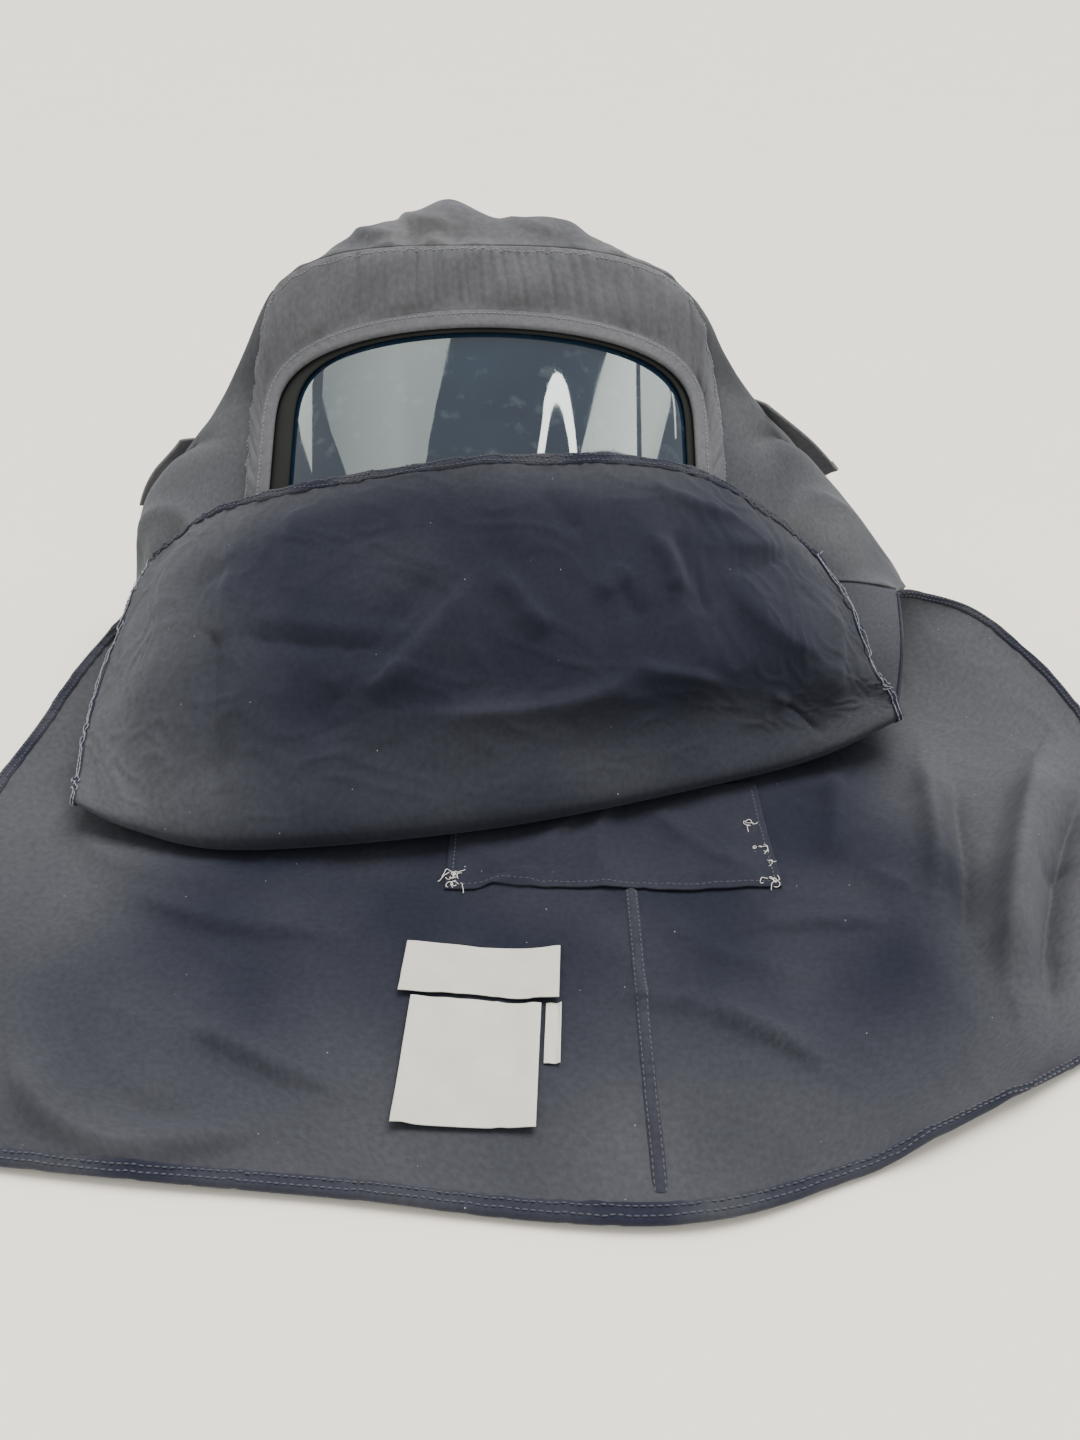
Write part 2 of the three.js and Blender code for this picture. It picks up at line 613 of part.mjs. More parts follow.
// A label that hangs from the upper one, with its middle to the right of the upper label's by its own value.
function hangingLabel(label) {
  const x = UPPER_LABEL.x * HALF_WIDTH + label.right;
  const y = UPPER_LABEL.y * HALF_LENGTH - (UPPER_LABEL.length + label.length) / 2 - LABEL_GAP;
  return sewnOn(label, x, y, LABEL);
}

// The seam down the middle of the back bib, from its hem to the patch.
function centreSeam(cells) {
  const middle = backBib(0.5, 0).x;
  const away = (point) => Math.abs(point.x - middle);
  const nearest = [...cells.rows[1]].sort((a, b) => away(a) - away(b)).slice(0, 3);
  const low = Math.max(...nearest.map((point) => point.y)) + GAP;
  const high = PATCH.y * HALF_LENGTH - PATCH.length / 2 - GAP;
  return sewnOn({ width: SEAM_WIDTH, length: high - low, turn: 0 }, middle, (low + high) / 2, TRIM);
}

function named(name, geometry, material) {
  const mesh = new THREE.Mesh(geometry, MATERIALS[material]);
  mesh.name = name;
  return mesh;
}

const hood = new THREE.Group();
const bib = frontBibCells();
const laidBib = backBibCells();

hood.add(named('crown', crown(), 'cloth'));
hood.add(named('front_panel', layer(surround, -halfCloth, halfCloth), 'cloth'));
hood.add(named('window_hem', windowHem(), 'trim'));
hood.add(named('window_gasket', gasket(), 'gasket'));
hood.add(named('lens', lens(), 'lens'));
hood.add(named('side_panel_left', sidePanel(acrossSide, 'last column'), 'cloth'));
hood.add(named('side_panel_right', sidePanel(acrossFar, 'first column'), 'cloth'));
for (const flap of REAR_FLAPS) hood.add(named(flap.name, rearFlap(flap), 'cloth'));
hood.add(named('front_bib', layer(bib, -halfCloth, halfCloth), 'cloth'));
hood.add(named('front_bib_hem', frontBibHem(bib), 'trim'));
hood.add(named('back_panel', backPanel(laidBib), 'cloth'));
hood.add(named('back_bib', layer(laidBib, -halfCloth, halfCloth), 'cloth'));
hood.add(named('back_bib_hem', backBibHem(laidBib), 'trim'));
hood.add(named('centre_seam', centreSeam(laidBib), 'trim'));
hood.add(named('cloth_patch', patch(), 'trim'));
hood.add(named('label_upper', upperLabel(), 'label'));
hood.add(named('label_lower', hangingLabel(LOWER_LABEL), 'label'));
hood.add(named('label_under', hangingLabel(UNDER_LABEL), 'label'));

export default hood;
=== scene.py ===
# %% [markdown]
# # Arc flash hood
# A soft hood of two-layer navy cotton with a bent, tinted window lies on its back. Its front bib is folded
# back up over the lower part of the window, so the inner side of the bib shows, and its back bib is spread
# flat on the table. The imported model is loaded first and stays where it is: every piece below is made in the
# same frame, in metres.

import math

import bmesh
import bpy
import numpy as np
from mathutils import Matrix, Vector


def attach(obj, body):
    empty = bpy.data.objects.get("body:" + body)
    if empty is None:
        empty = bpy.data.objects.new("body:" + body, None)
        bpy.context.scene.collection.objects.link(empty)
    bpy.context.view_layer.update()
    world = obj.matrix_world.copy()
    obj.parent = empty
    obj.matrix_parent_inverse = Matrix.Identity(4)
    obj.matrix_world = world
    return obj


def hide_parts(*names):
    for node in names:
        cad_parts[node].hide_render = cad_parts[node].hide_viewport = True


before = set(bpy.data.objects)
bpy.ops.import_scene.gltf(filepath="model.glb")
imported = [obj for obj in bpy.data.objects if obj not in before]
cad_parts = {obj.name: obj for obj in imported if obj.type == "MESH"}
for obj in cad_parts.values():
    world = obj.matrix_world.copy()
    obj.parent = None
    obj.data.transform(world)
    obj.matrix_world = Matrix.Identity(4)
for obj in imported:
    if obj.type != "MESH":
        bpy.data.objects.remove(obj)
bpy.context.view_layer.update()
MM = 0.001
print("nodes:", ", ".join(sorted(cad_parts)))

# %% [markdown]
# ## Camera
# The camera is made before anything else, because the reflections in the window are placed from it. It looks
# down at the hood from just in front of the bib's hem. The image is 1080 by 1440 pixels, and the focal length
# is as long as the image is wide.

# %% Camera
IMAGE = {"width": 1080, "height": 1440, "focal": 1080}
CAMERA_PLACE = Vector((-0.005, -0.576, 0.441))
CAMERA_PITCH = math.radians(35)
SENSOR = 36


def make_camera():
    data = bpy.data.cameras.new("camera")
    data.sensor_width = SENSOR
    data.lens = SENSOR * IMAGE["focal"] / IMAGE["height"]
    data.clip_start = 0.01
    camera = bpy.data.objects.new("camera", data)
    camera.location = CAMERA_PLACE
    camera.rotation_euler = (math.pi / 2 - CAMERA_PITCH, 0, 0)
    bpy.context.scene.collection.objects.link(camera)
    bpy.context.scene.camera = camera
    return camera


camera = make_camera()
print("lens", round(camera.data.lens, 1), "mm")

# %% [markdown]
# ## Section tables
# The hood is drawn the way a pattern cutter checks a finished garment: by its sections. Each row is a line
# over the cloth from the left foot over the ridge to the right foot, at seven places, as shares of half the
# width, half the length and the height. A smooth curve through the rows gives every point between them.

# %% Sections of the hood
HALF_SIZES = np.array([0.350, 0.325, 0.300])

HOOD_SECTIONS = [
    {"name": "sill",
     "x": [-0.857, -0.760, -0.610, -0.126, 0.357, 0.586, 0.729],
     "y": [0.345, 0.308, 0.271, 0.095, 0.271, 0.330, 0.380],
     "z": [0.200, 0.260, 0.283, 0.440, 0.283, 0.275, 0.225]},
    {"name": "middle",
     "x": [-0.903, -0.800, -0.612, -0.126, 0.360, 0.560, 0.785],
     "y": [0.462, 0.450, 0.470, 0.338, 0.470, 0.470, 0.486],
     "z": [0.125, 0.350, 0.460, 0.653, 0.465, 0.410, 0.165]},
    {"name": "lintel",
     "x": [-0.920, -0.825, -0.606, -0.126, 0.351, 0.540, 0.811],
     "y": [0.615, 0.592, 0.630, 0.520, 0.628, 0.602, 0.615],
     "z": [0.075, 0.420, 0.610, 0.807, 0.625, 0.485, 0.105]},
    {"name": "brow",
     "x": [-0.874, -0.670, -0.554, -0.140, 0.280, 0.410, 0.749],
     "y": [0.769, 0.742, 0.702, 0.628, 0.695, 0.748, 0.769],
     "z": [0.045, 0.280, 0.835, 0.950, 0.835, 0.310, 0.055]},
    {"name": "crown",
     "x": [-0.749, -0.590, -0.480, -0.149, 0.196, 0.326, 0.586],
     "y": [0.911, 0.880, 0.846, 0.794, 0.837, 0.877, 0.911],
     "z": [0.040, 0.240, 0.710, 0.955, 0.725, 0.250, 0.040]},
    {"name": "back",
     "x": [-0.571, -0.510, -0.377, -0.149, 0.080, 0.223, 0.357],
     "y": [0.972, 0.972, 0.978, 0.960, 0.978, 0.975, 0.972],
     "z": [0.040, 0.220, 0.540, 0.730, 0.545, 0.225, 0.040]},
    {"name": "tail",
     "x": [-0.400, -0.350, -0.257, -0.143, -0.029, 0.070, 0.129],
     "y": [0.985, 0.992, 1.000, 1.000, 1.000, 0.992, 0.985],
     "z": [0.050, 0.150, 0.260, 0.320, 0.260, 0.150, 0.050]},
]

FRONT_BIB_SECTIONS = [
    HOOD_SECTIONS[0],
    {"name": "under",
     "x": [-0.857, -0.745, -0.543, -0.109, 0.317, 0.545, 0.700],
     "y": [0.130, 0.070, 0.010, -0.040, 0.030, 0.120, 0.200],
     "z": [0.150, 0.175, 0.215, 0.240, 0.215, 0.185, 0.190]},
    {"name": "low",
     "x": [-0.829, -0.717, -0.520, -0.091, 0.297, 0.509, 0.669],
     "y": [-0.140, -0.185, -0.230, -0.180, -0.055, 0.015, 0.060],
     "z": [0.080, 0.045, 0.030, 0.038, 0.038, 0.044, 0.110]},
    {"name": "nose",
     "x": [-0.817, -0.706, -0.517, -0.091, 0.297, 0.509, 0.660],
     "y": [-0.222, -0.265, -0.300, -0.255, -0.125, -0.040, 0.010],
     "z": [0.100, 0.075, 0.070, 0.080, 0.070, 0.075, 0.133]},
    {"name": "over",
     "x": [-0.826, -0.709, -0.514, -0.097, 0.286, 0.497, 0.649],
     "y": [-0.140, -0.180, -0.202, -0.170, -0.050, 0.010, 0.045],
     "z": [0.125, 0.145, 0.170, 0.195, 0.170, 0.140, 0.160]},
    {"name": "flap",
     "x": [-0.826, -0.703, -0.509, -0.109, 0.263, 0.466, 0.617],
     "y": [0.025, -0.015, -0.037, -0.055, 0.000, 0.055, 0.080],
     "z": [0.190, 0.270, 0.320, 0.350, 0.315, 0.255, 0.200]},
    {"name": "crest",
     "x": [-0.803, -0.686, -0.491, -0.120, 0.237, 0.431, 0.583],
     "y": [0.175, 0.200, 0.175, 0.130, 0.200, 0.220, 0.190],
     "z": [0.290, 0.380, 0.450, 0.515, 0.470, 0.385, 0.285]},
    {"name": "hem",
     "x": [-0.771, -0.663, -0.480, -0.129, 0.214, 0.400, 0.531],
     "y": [0.265, 0.326, 0.308, 0.262, 0.360, 0.369, 0.302],
     "z": [0.360, 0.443, 0.520, 0.606, 0.560, 0.460, 0.355]},
]

BACK_BIB_SECTIONS = [
    {"name": "hem",
     "x": [-0.829, -0.560, -0.300, 0.135, 0.380, 0.580, 0.815],
     "y": [-0.895, -0.930, -0.955, -0.998, -0.930, -0.835, -0.700],
     "z": [0.000, 0.000, 0.000, 0.000, 0.000, 0.000, 0.000]},
    {"name": "low",
     "x": [-0.943, -0.680, -0.400, 0.128, 0.465, 0.740, 0.929],
     "y": [-0.680, -0.720, -0.735, -0.755, -0.735, -0.680, -0.580],
     "z": [0.010, 0.000, 0.000, 0.000, 0.000, 0.010, 0.020]},
    {"name": "skirt",
     "x": [-0.994, -0.710, -0.415, 0.121, 0.490, 0.810, 1.011],
     "y": [-0.430, -0.465, -0.480, -0.490, -0.485, -0.440, -0.290],
     "z": [0.030, -0.010, 0.000, 0.000, 0.000, 0.055, 0.065]},
    {"name": "flare",
     "x": [-0.989, -0.710, -0.415, 0.113, 0.490, 0.820, 1.023],
     "y": [-0.165, -0.215, -0.235, -0.250, -0.240, -0.190, -0.010],
     "z": [0.050, -0.015, 0.000, 0.000, 0.000, 0.060, 0.080]},
    {"name": "waist",
     "x": [-0.971, -0.700, -0.410, 0.105, 0.480, 0.800, 1.006],
     "y": [0.080, 0.010, -0.030, -0.045, -0.030, 0.015, 0.215],
     "z": [0.065, -0.015, 0.000, 0.000, 0.000, 0.020, 0.090]},
    {"name": "wing",
     "x": [-0.931, -0.680, -0.400, 0.100, 0.450, 0.740, 0.903],
     "y": [0.300, 0.205, 0.170, 0.155, 0.160, 0.195, 0.395],
     "z": [0.105, -0.010, 0.000, 0.000, 0.000, 0.020, 0.140]},
    {"name": "arch",
     "x": [-0.857, -0.640, -0.380, 0.090, 0.380, 0.600, 0.729],
     "y": [0.345, 0.325, 0.320, 0.315, 0.320, 0.335, 0.380],
     "z": [0.182, 0.000, 0.000, 0.000, 0.000, 0.040, 0.207]},
]

# Shares of a table at which named lines lie. The side panels end at the third and the fifth column, and
# the brow seam is the fourth row. The front bib turns over at its nose and is right over by the next row.
LEFT_EDGE = 2 / 6
RIGHT_EDGE = 4 / 6
BROW = 3 / 6
TURN = 3 / 7
OVER = 4 / 7


def curve_weights(count, share):
    """How much each of count evenly spaced values weighs at a share, 0 to 1, of their smooth curve."""
    share = np.ravel(share)
    place = np.clip(share, 0, 1) * (count - 1)
    first = np.minimum(count - 2, place.astype(int))
    f = place - first
    table = np.zeros((len(share), count))
    rows = np.arange(len(share))
    terms = [
        (-1, -f + 2 * f**2 - f**3),
        (0, 2 - 5 * f**2 + 3 * f**3),
        (1, f + 4 * f**2 - 3 * f**3),
        (2, -(f**2) + f**3),
    ]
    for step, weight in terms:
        np.add.at(table, (rows, np.clip(first + step, 0, count - 1)), weight / 2)
    return table


def loft(sections, s, t):
    """Points at shares s across and t along the sections."""
    s, t = np.broadcast_arrays(s, t)
    table = np.array([[row["x"], row["y"], row["z"]] for row in sections])
    along = curve_weights(len(sections), t)
    across = curve_weights(table.shape[2], s)
    points = np.einsum("nk,kcj,nj->nc", along, table, across, optimize=True)
    return (points * HALF_SIZES).reshape(*s.shape, 3)


print("sections:", len(HOOD_SECTIONS) + len(FRONT_BIB_SECTIONS) + len(BACK_BIB_SECTIONS) - 1)

# %% [markdown]
# ## Folds and rumples
# Cloth could be left to a simulation, but these folds have known places. So each fold is a short curved path
# over the piece, with a height, a width and a lean that makes one flank steeper. Between the named folds,
# cloth that was carried in a bag is rumpled all over. A few waves with random directions from a fixed seed,
# bent by other waves, give that.

# %% Folds and rumples
FOLD_SAMPLES = 24
CREST_ROUND = 0.45
CREST_STEEP = 1.3
# A fold starts at a share of its full height and reaches all of it within a share of its length.
FOLD_END = {"height": 0.2, "share": 0.25}
WAVES = 9


def smooth(x):
    x = np.clip(x, 0, 1)
    return x * x * (3 - 2 * x)


def bell(x):
    return np.exp(-x * x)


def crest(x):
    """The section of a fold: a narrow rounded crest whose flanks run out softly."""
    return np.exp(CREST_ROUND - np.sqrt(x * x + CREST_ROUND**2))


def bent_path(points):
    """Evenly spread points on a curve that passes through the first, middle and last of three points."""
    first, middle, last = (np.array(p, float) for p in points)
    pull = 2 * middle - (first + last) / 2
    f = np.linspace(0, 1, FOLD_SAMPLES)[:, None]
    return first * (1 - f) ** 2 + 2 * pull * f * (1 - f) + last * f**2


def fold_height(folds, s, t, size):
    """Height of all the folds, in metres, at shares s and t of a piece of that size in metres."""
    u, v = s * size[0], t * size[1]
    total = np.zeros(np.shape(u))
    for path, height, width, lean in folds:
        line = bent_path([(a * size[0], b * size[1]) for a, b in path])
        best = np.full(np.shape(u), np.inf)
        side = np.zeros(np.shape(u))
        share = np.zeros(np.shape(u))
        for k in range(FOLD_SAMPLES - 1):
            run = line[k + 1] - line[k]
            du, dv = u - line[k][0], v - line[k][1]
            f = np.clip((du * run[0] + dv * run[1]) / (run @ run), 0, 1)
            away = np.hypot(du - f * run[0], dv - f * run[1])
            near = away < best
            best = np.where(near, away, best)
            side = np.where(near, run[0] * dv - run[1] * du, side)
            share = np.where(near, (k + f) / (FOLD_SAMPLES - 1), share)
        reach = width * MM * (1 + lean * np.sign(side))
        full = smooth(share / FOLD_END["share"]) * smooth((1 - share) / FOLD_END["share"])
        ends = full * (1 - FOLD_END["height"]) + FOLD_END["height"]
        total += height * MM * ends * crest(CREST_STEEP * best / reach)
    return total


def waves(u, v, size, seed):
    """A soft random surface between about -1 and 1, with bumps of the given size."""
    rng = np.random.default_rng(seed)
    total = np.zeros(np.shape(u))
    for _ in range(WAVES):
        turn = rng.uniform(0, math.pi)
        phase = rng.uniform(0, 2 * math.pi)
        pitch = 2 * math.pi / (size * rng.uniform(0.7, 1.4))
        total += np.cos(pitch * (u * math.cos(turn) + v * math.sin(turn)) + phase)
    return total / math.sqrt(2 * WAVES)


def rumple(u, v, size, seed):
    """Cloth that was crumpled and smoothed out again: soft ridges in a net, from 0 in the hollows to 1."""
    bend = 0.35 * size
    warped_u = u + bend * waves(u, v, 1.7 * size, seed + 1)
    warped_v = v + bend * waves(u, v, 1.7 * size, seed + 2)
    return 1 - np.minimum(1, np.abs(waves(warped_u, warped_v, size, seed)))


print("a fold has", FOLD_SAMPLES, "samples")

# %% [markdown]
# ## Sheets of cloth
# A sheet is a grid of points with a wall round it. Both faces are offset from the grid along its own normals,
# and the wall thins to nothing in the last three cells before an edge, so that every edge is rounded as a
# turned edge is. The flat size of the cells goes into a UV map in metres, which the weave follows. An
# attribute says how faded each point is and how much painted haze lightens it.

# %% Sheets of cloth
RIM = np.array([0.0, 0.66, 0.92])
RIM_SHARES = np.array([0.0, 0.25, 0.6])
CLOTH = 2.4 * MM
WELD = 0.01 * MM


def normals_of(points, ring=False):
    """Unit normals of a grid of points, from the neighbours of each."""
    if ring:
        across = np.roll(points, -1, 1) - np.roll(points, 1, 1)
    else:
        across = np.gradient(points, axis=1)
    along = np.gradient(points, axis=0)
    normal = np.cross(across, along)
    length = np.linalg.norm(normal, axis=2, keepdims=True)
    return normal / np.maximum(length, 1e-12)


def shares(count, rim, low=0.0, high=1.0):
    """Shares from low to high: even ones, with a few more within the rim at both ends."""
    inner = np.linspace(rim, 1 - rim, count)
    near = RIM_SHARES * rim
    return low + (high - low) * np.concatenate([near, inner, 1 - near[::-1]])


def rim_factor(count):
    """How much of the wall there is at each of count points from edge to edge."""
    factor = np.ones(count)
    factor[: len(RIM)] = RIM
    factor[-len(RIM):] = RIM[::-1]
    return factor


def flat_map(points):
    """Distances over a grid in metres, across and along, as a UV map."""
    wide = points[:, 1:] - points[:, :-1]
    across = np.cumsum(np.linalg.norm(wide, axis=2), axis=1)
    across = np.concatenate([np.zeros((len(points), 1)), across], axis=1)
    across = np.broadcast_to(across.mean(0), across.shape)
    deep = np.linalg.norm(points[1:] - points[:-1], axis=2)
    along = np.concatenate([np.zeros((1, points.shape[1])), np.cumsum(deep, axis=0)])
    along = np.broadcast_to(along.mean(1)[:, None], along.shape)
    return np.stack([across, along], axis=-1)


def mesh_piece(name, vertices, faces, uv, worn):
    """A smooth-shaded mesh object at the origin, with a UV place and a value of fading and painted haze for
    each vertex.
    """
    mesh = bpy.data.meshes.new(name)
    mesh.from_pydata(vertices.tolist(), [], faces.tolist())
    mesh.polygons.foreach_set("use_smooth", np.ones(len(faces), bool))
    loops = np.zeros(len(mesh.loops), np.int32)
    mesh.loops.foreach_get("vertex_index", loops)
    layer = mesh.uv_layers.new(name="flat")
    layer.data.foreach_set("uv", uv[loops].astype(np.float32).ravel())
    attribute = mesh.attributes.new("worn", "FLOAT", "POINT")
    attribute.data.foreach_set("value", worn.astype(np.float32))
    mesh.update()
    piece = bpy.data.objects.new(name, mesh)
    bpy.context.scene.collection.objects.link(piece)
    return piece


def grid_faces(rows, columns):
    i, j = np.meshgrid(np.arange(rows - 1), np.arange(columns - 1), indexing="ij")
    quads = [i * columns + j, i * columns + j + 1, (i + 1) * columns + j + 1, (i + 1) * columns + j]
    return np.stack(quads, -1).reshape(-1, 4)


def closed(grid):
    """A ring's grid with its first column again at the end."""
    return np.concatenate([grid, grid[:, :1]], axis=1)


def sheet(name, points, thickness=CLOTH, worn=0.0, ring=False, disc=False, normal=None):
    """A closed sheet round a grid. A ring's columns go round, and a disc's first row is its middle."""
    normal = normals_of(points, ring) if normal is None else normal
    worn = np.broadcast_to(worn, points.shape[:2])
    if ring:
        points, normal, worn = closed(points), closed(normal), closed(worn)
    rows, columns = points.shape[:2]
    beside = np.ones(columns) if ring else rim_factor(columns)
    factor = rim_factor(rows)[:, None] * beside[None]
    if disc:
        factor[:len(RIM)] = 1
    reach = normal * (thickness / 2 * factor)[..., None]
    vertices = np.concatenate([(points + reach).reshape(-1, 3), (points - reach).reshape(-1, 3)])
    upper = grid_faces(rows, columns)
    lower = upper[:, ::-1] + rows * columns
    uv = np.tile(flat_map(points).reshape(-1, 2), (2, 1))
    piece = mesh_piece(name, vertices, np.concatenate([upper, lower]), uv, np.tile(worn.ravel(), 2))
    weld(piece)
    return piece


def weld(piece):
    """Merges the vertices that lie on each other, as those of both faces do at a rounded edge."""
    work = bmesh.new()
    work.from_mesh(piece.data)
    bmesh.ops.remove_doubles(work, verts=work.verts, dist=WELD)
    work.to_mesh(piece.data)
    work.free()
    piece.data.update()


def join_body(piece, material=None):
    """Gives a piece its material, if it has none yet, and lets it ride on the hood's one body."""
    if material is not None:
        piece.data.materials.clear()
        piece.data.materials.append(material)
    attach(piece, "root")
    return piece


def dress(node_name, kind, points, slot, material, **how):
    """Makes a sheet that stands for the CAD node of that name. The kind ends the sheet's own name."""
    piece = join_body(sheet(node_name + "_" + kind, points, **how), material)
    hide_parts(node_name)
    return piece


def near_edge(distance, width):
    """1 at an edge, falling to 0 at the given width from it."""
    return 1 - smooth(distance / width)


print("cloth wall", CLOTH / MM, "mm")

# %% [markdown]
# ## Finishes
# Every material starts from what the real one is. Colours are written as in the photograph, in sRGB hex, and
# one function turns them to the linear values that Blender mixes. One other function adds a node, sets what
# it is given and links the rest, so that a material reads as a short list.

# %% Helpers for materials
MIX_FACTOR = 0
MIX_A = 6
MIX_B = 7
MIX_RESULT = 2


def linear(code):
    """The linear colour of an sRGB hex value."""
    channels = [int(code[i:i + 2], 16) / 255 for i in (1, 3, 5)]
    return (*[c / 12.92 if c <= 0.04045 else ((c + 0.055) / 1.055) ** 2.4 for c in channels], 1.0)


def node(tree, kind, inputs=None, **settings):
    """Adds a node with its settings. An input is a value, or another node's socket to link."""
    made = tree.nodes.new(kind)
    for key, value in settings.items():
        setattr(made, key, value)
    for key, value in (inputs or {}).items():
        if isinstance(value, bpy.types.NodeSocket):
            tree.links.new(value, made.inputs[key])
        else:
            made.inputs[key].default_value = value
    return made


def new_material(name):
    material = bpy.data.materials.new(name)
    material.use_nodes = True
    material.node_tree.nodes.clear()
    return material, material.node_tree


def finish_material(tree, inputs):
    shader = node(tree, "ShaderNodeBsdfPrincipled", inputs)
    node(tree, "ShaderNodeOutputMaterial", {"Surface": shader.outputs[0]})


def per_metre(size):
    """The scale of a noise or Voronoi texture whose marks are the given number of millimetres apart."""
    return 1 / (size * MM)


def band_scale(size):
    """The scale of a wave texture whose bands are the given number of millimetres apart."""
    return math.pi / 10 / (size * MM)


print("a mid grey in linear values:", [round(c, 3) for c in linear("#808080")])

# %% [markdown]
# ## Cotton sateen
# The cloth is protective cotton sateen, piece-dyed navy. Its long floats give it a soft shine across a fold,
# and washing has taken colour out of it where it is handled. The real threads are about 0.3 mm apart, too
# fine to show, so the twill lines are drawn 1.3 mm apart. Pale lint sits on it in specks. The outside has
# faded most, the shaded inside of the bibs least, and the turned hems have kept their colour. The pale grey
# of the outside and the paler far sides of the bibs are partly painted haze, and the side panels have a
# darker copy of the outside cloth, which is painted shade.

# %% Cloth materials
TWILL = 1.3
SLUBS = 3.5
PATCHES = 70
LINT_CELL = 11
LINT_RADIUS = 0.03
LINT_FREE = 0.55
PATCHINESS = 0.4


def sateen(name, deep, palest):
    material, tree = new_material(name)
    flat = node(tree, "ShaderNodeUVMap", uv_map="flat").outputs[0]
    worn = node(tree, "ShaderNodeAttribute", attribute_name="worn").outputs["Fac"]
    patches = node(tree, "ShaderNodeTexNoise", {"Vector": flat, "Scale": per_metre(PATCHES), "Detail": 4.0})
    slubs = node(tree, "ShaderNodeTexNoise", {"Vector": flat, "Scale": per_metre(SLUBS), "Detail": 3.0})
    twill = node(tree, "ShaderNodeTexWave", {
        "Vector": flat, "Scale": band_scale(TWILL) * math.sqrt(2), "Distortion": 0.6, "Detail": 1.0,
        "Detail Scale": 1.5,
    }, bands_direction="DIAGONAL")
    lint = node(tree, "ShaderNodeTexVoronoi", {"Vector": flat, "Scale": per_metre(LINT_CELL)})
    patchy = node(tree, "ShaderNodeMath", {0: patches.outputs[0], 1: 0.5}, operation="SUBTRACT").outputs[0]
    # Towards its palest colour the cloth shows its fading, and painted haze where a piece is set paler for it.
    fade_and_haze_share = node(tree, "ShaderNodeMath", {0: patchy, 1: PATCHINESS, 2: worn}, operation="MULTIPLY_ADD")
    fade_and_haze_share.use_clamp = True
    body = node(tree, "ShaderNodeMix", {
        MIX_FACTOR: fade_and_haze_share.outputs[0], MIX_A: linear(deep), MIX_B: linear(palest),
    }, data_type="RGBA").outputs[MIX_RESULT]
    grain = node(tree, "ShaderNodeMapRange", {0: slubs.outputs[0], 1: 0.3, 2: 0.7, 3: 0.86, 4: 1.14})
    body = node(tree, "ShaderNodeVectorMath", {0: body, "Scale": grain.outputs[0]}, operation="SCALE")
    speck = node(tree, "ShaderNodeMath", {0: lint.outputs["Distance"], 1: LINT_RADIUS}, operation="LESS_THAN")
    chance = node(tree, "ShaderNodeSeparateColor", {0: lint.outputs["Color"]}).outputs[0]
    rare = node(tree, "ShaderNodeMath", {0: chance, 1: LINT_FREE}, operation="GREATER_THAN").outputs[0]
    fluff = node(tree, "ShaderNodeMath", {0: speck.outputs[0], 1: rare}, operation="MULTIPLY").outputs[0]
    colour = node(tree, "ShaderNodeMix", {
        MIX_FACTOR: fluff, MIX_A: body.outputs[0], MIX_B: linear("#8d9096"),
    }, data_type="RGBA").outputs[MIX_RESULT]
    fine = node(tree, "ShaderNodeBump", {
        "Height": twill.outputs["Fac"], "Strength": 0.25, "Distance": 0.12 * MM,
    }).outputs[0]
    rough = node(tree, "ShaderNodeBump", {
        "Height": slubs.outputs[0], "Strength": 0.3, "Distance": 0.35 * MM, "Normal": fine,
    }).outputs[0]
    finish_material(tree, {
        "Base Color": colour, "Normal": rough, "Roughness": 0.8, "IOR": 1.4, "Specular IOR Level": 0.3,
        "Sheen Weight": 0.12, "Sheen Roughness": 0.45, "Sheen Tint": linear("#aab2cc"),
    })
    return material


# The outside cloth's pale grey is partly fading and partly painted haze.
OUTER = sateen("washed_navy_sateen_painted_haze", "#44464d", "#6a6c71")
# The side panels get the outside cloth made darker, which is painted shade.
PAINTED_SHADE_SIDES = sateen("navy_sateen_sides_painted_shade", "#373a41", "#5a5d62")
INNER = sateen("navy_sateen_inside", "#1b1e2b", "#484a50")
HEMS = sateen("navy_sateen_hems", "#1f2230", "#43454b")
print("twill lines per metre:", round(per_metre(TWILL)))

# %% [markdown]
# ## Thread, label tape, gasket and window
# The seams are sewn with polyester thread a little lighter than the cloth. The labels are woven satin tape.
# The facing round the window is black rubber foam with a matt skin, and the window is tinted polycarbonate,
# so dark that nothing shows through it: its look is all reflection, with rub marks, fine scratches and the
# grey marks of fingers. The label's real threads are too fine to show, so they are drawn 0.8 mm apart.

# %% Other materials
def thread_material(name, colour):
    material, tree = new_material(name)
    finish_material(tree, {"Base Color": linear(colour), "Roughness": 0.55, "Sheen Weight": 0.2})
    return material


def satin_tape():
    material, tree = new_material("woven_satin_tape")
    flat = node(tree, "ShaderNodeUVMap", uv_map="flat").outputs[0]
    threads = node(tree, "ShaderNodeTexWave", {
        "Vector": flat, "Scale": band_scale(0.8), "Distortion": 0.3,
    }, bands_direction="Y")
    soiled = node(tree, "ShaderNodeTexNoise", {"Vector": flat, "Scale": per_metre(22), "Detail": 4.0})
    colour = node(tree, "ShaderNodeMix", {
        MIX_FACTOR: soiled.outputs[0], MIX_A: linear("#b4b6b0"), MIX_B: linear("#d0d1ca"),
    }, data_type="RGBA").outputs[MIX_RESULT]
    normal = node(tree, "ShaderNodeBump", {
        "Height": threads.outputs["Fac"], "Strength": 0.3, "Distance": 0.1 * MM,
    }).outputs[0]
    finish_material(tree, {"Base Color": colour, "Normal": normal, "Roughness": 0.42, "Sheen Weight": 0.1})
    return material


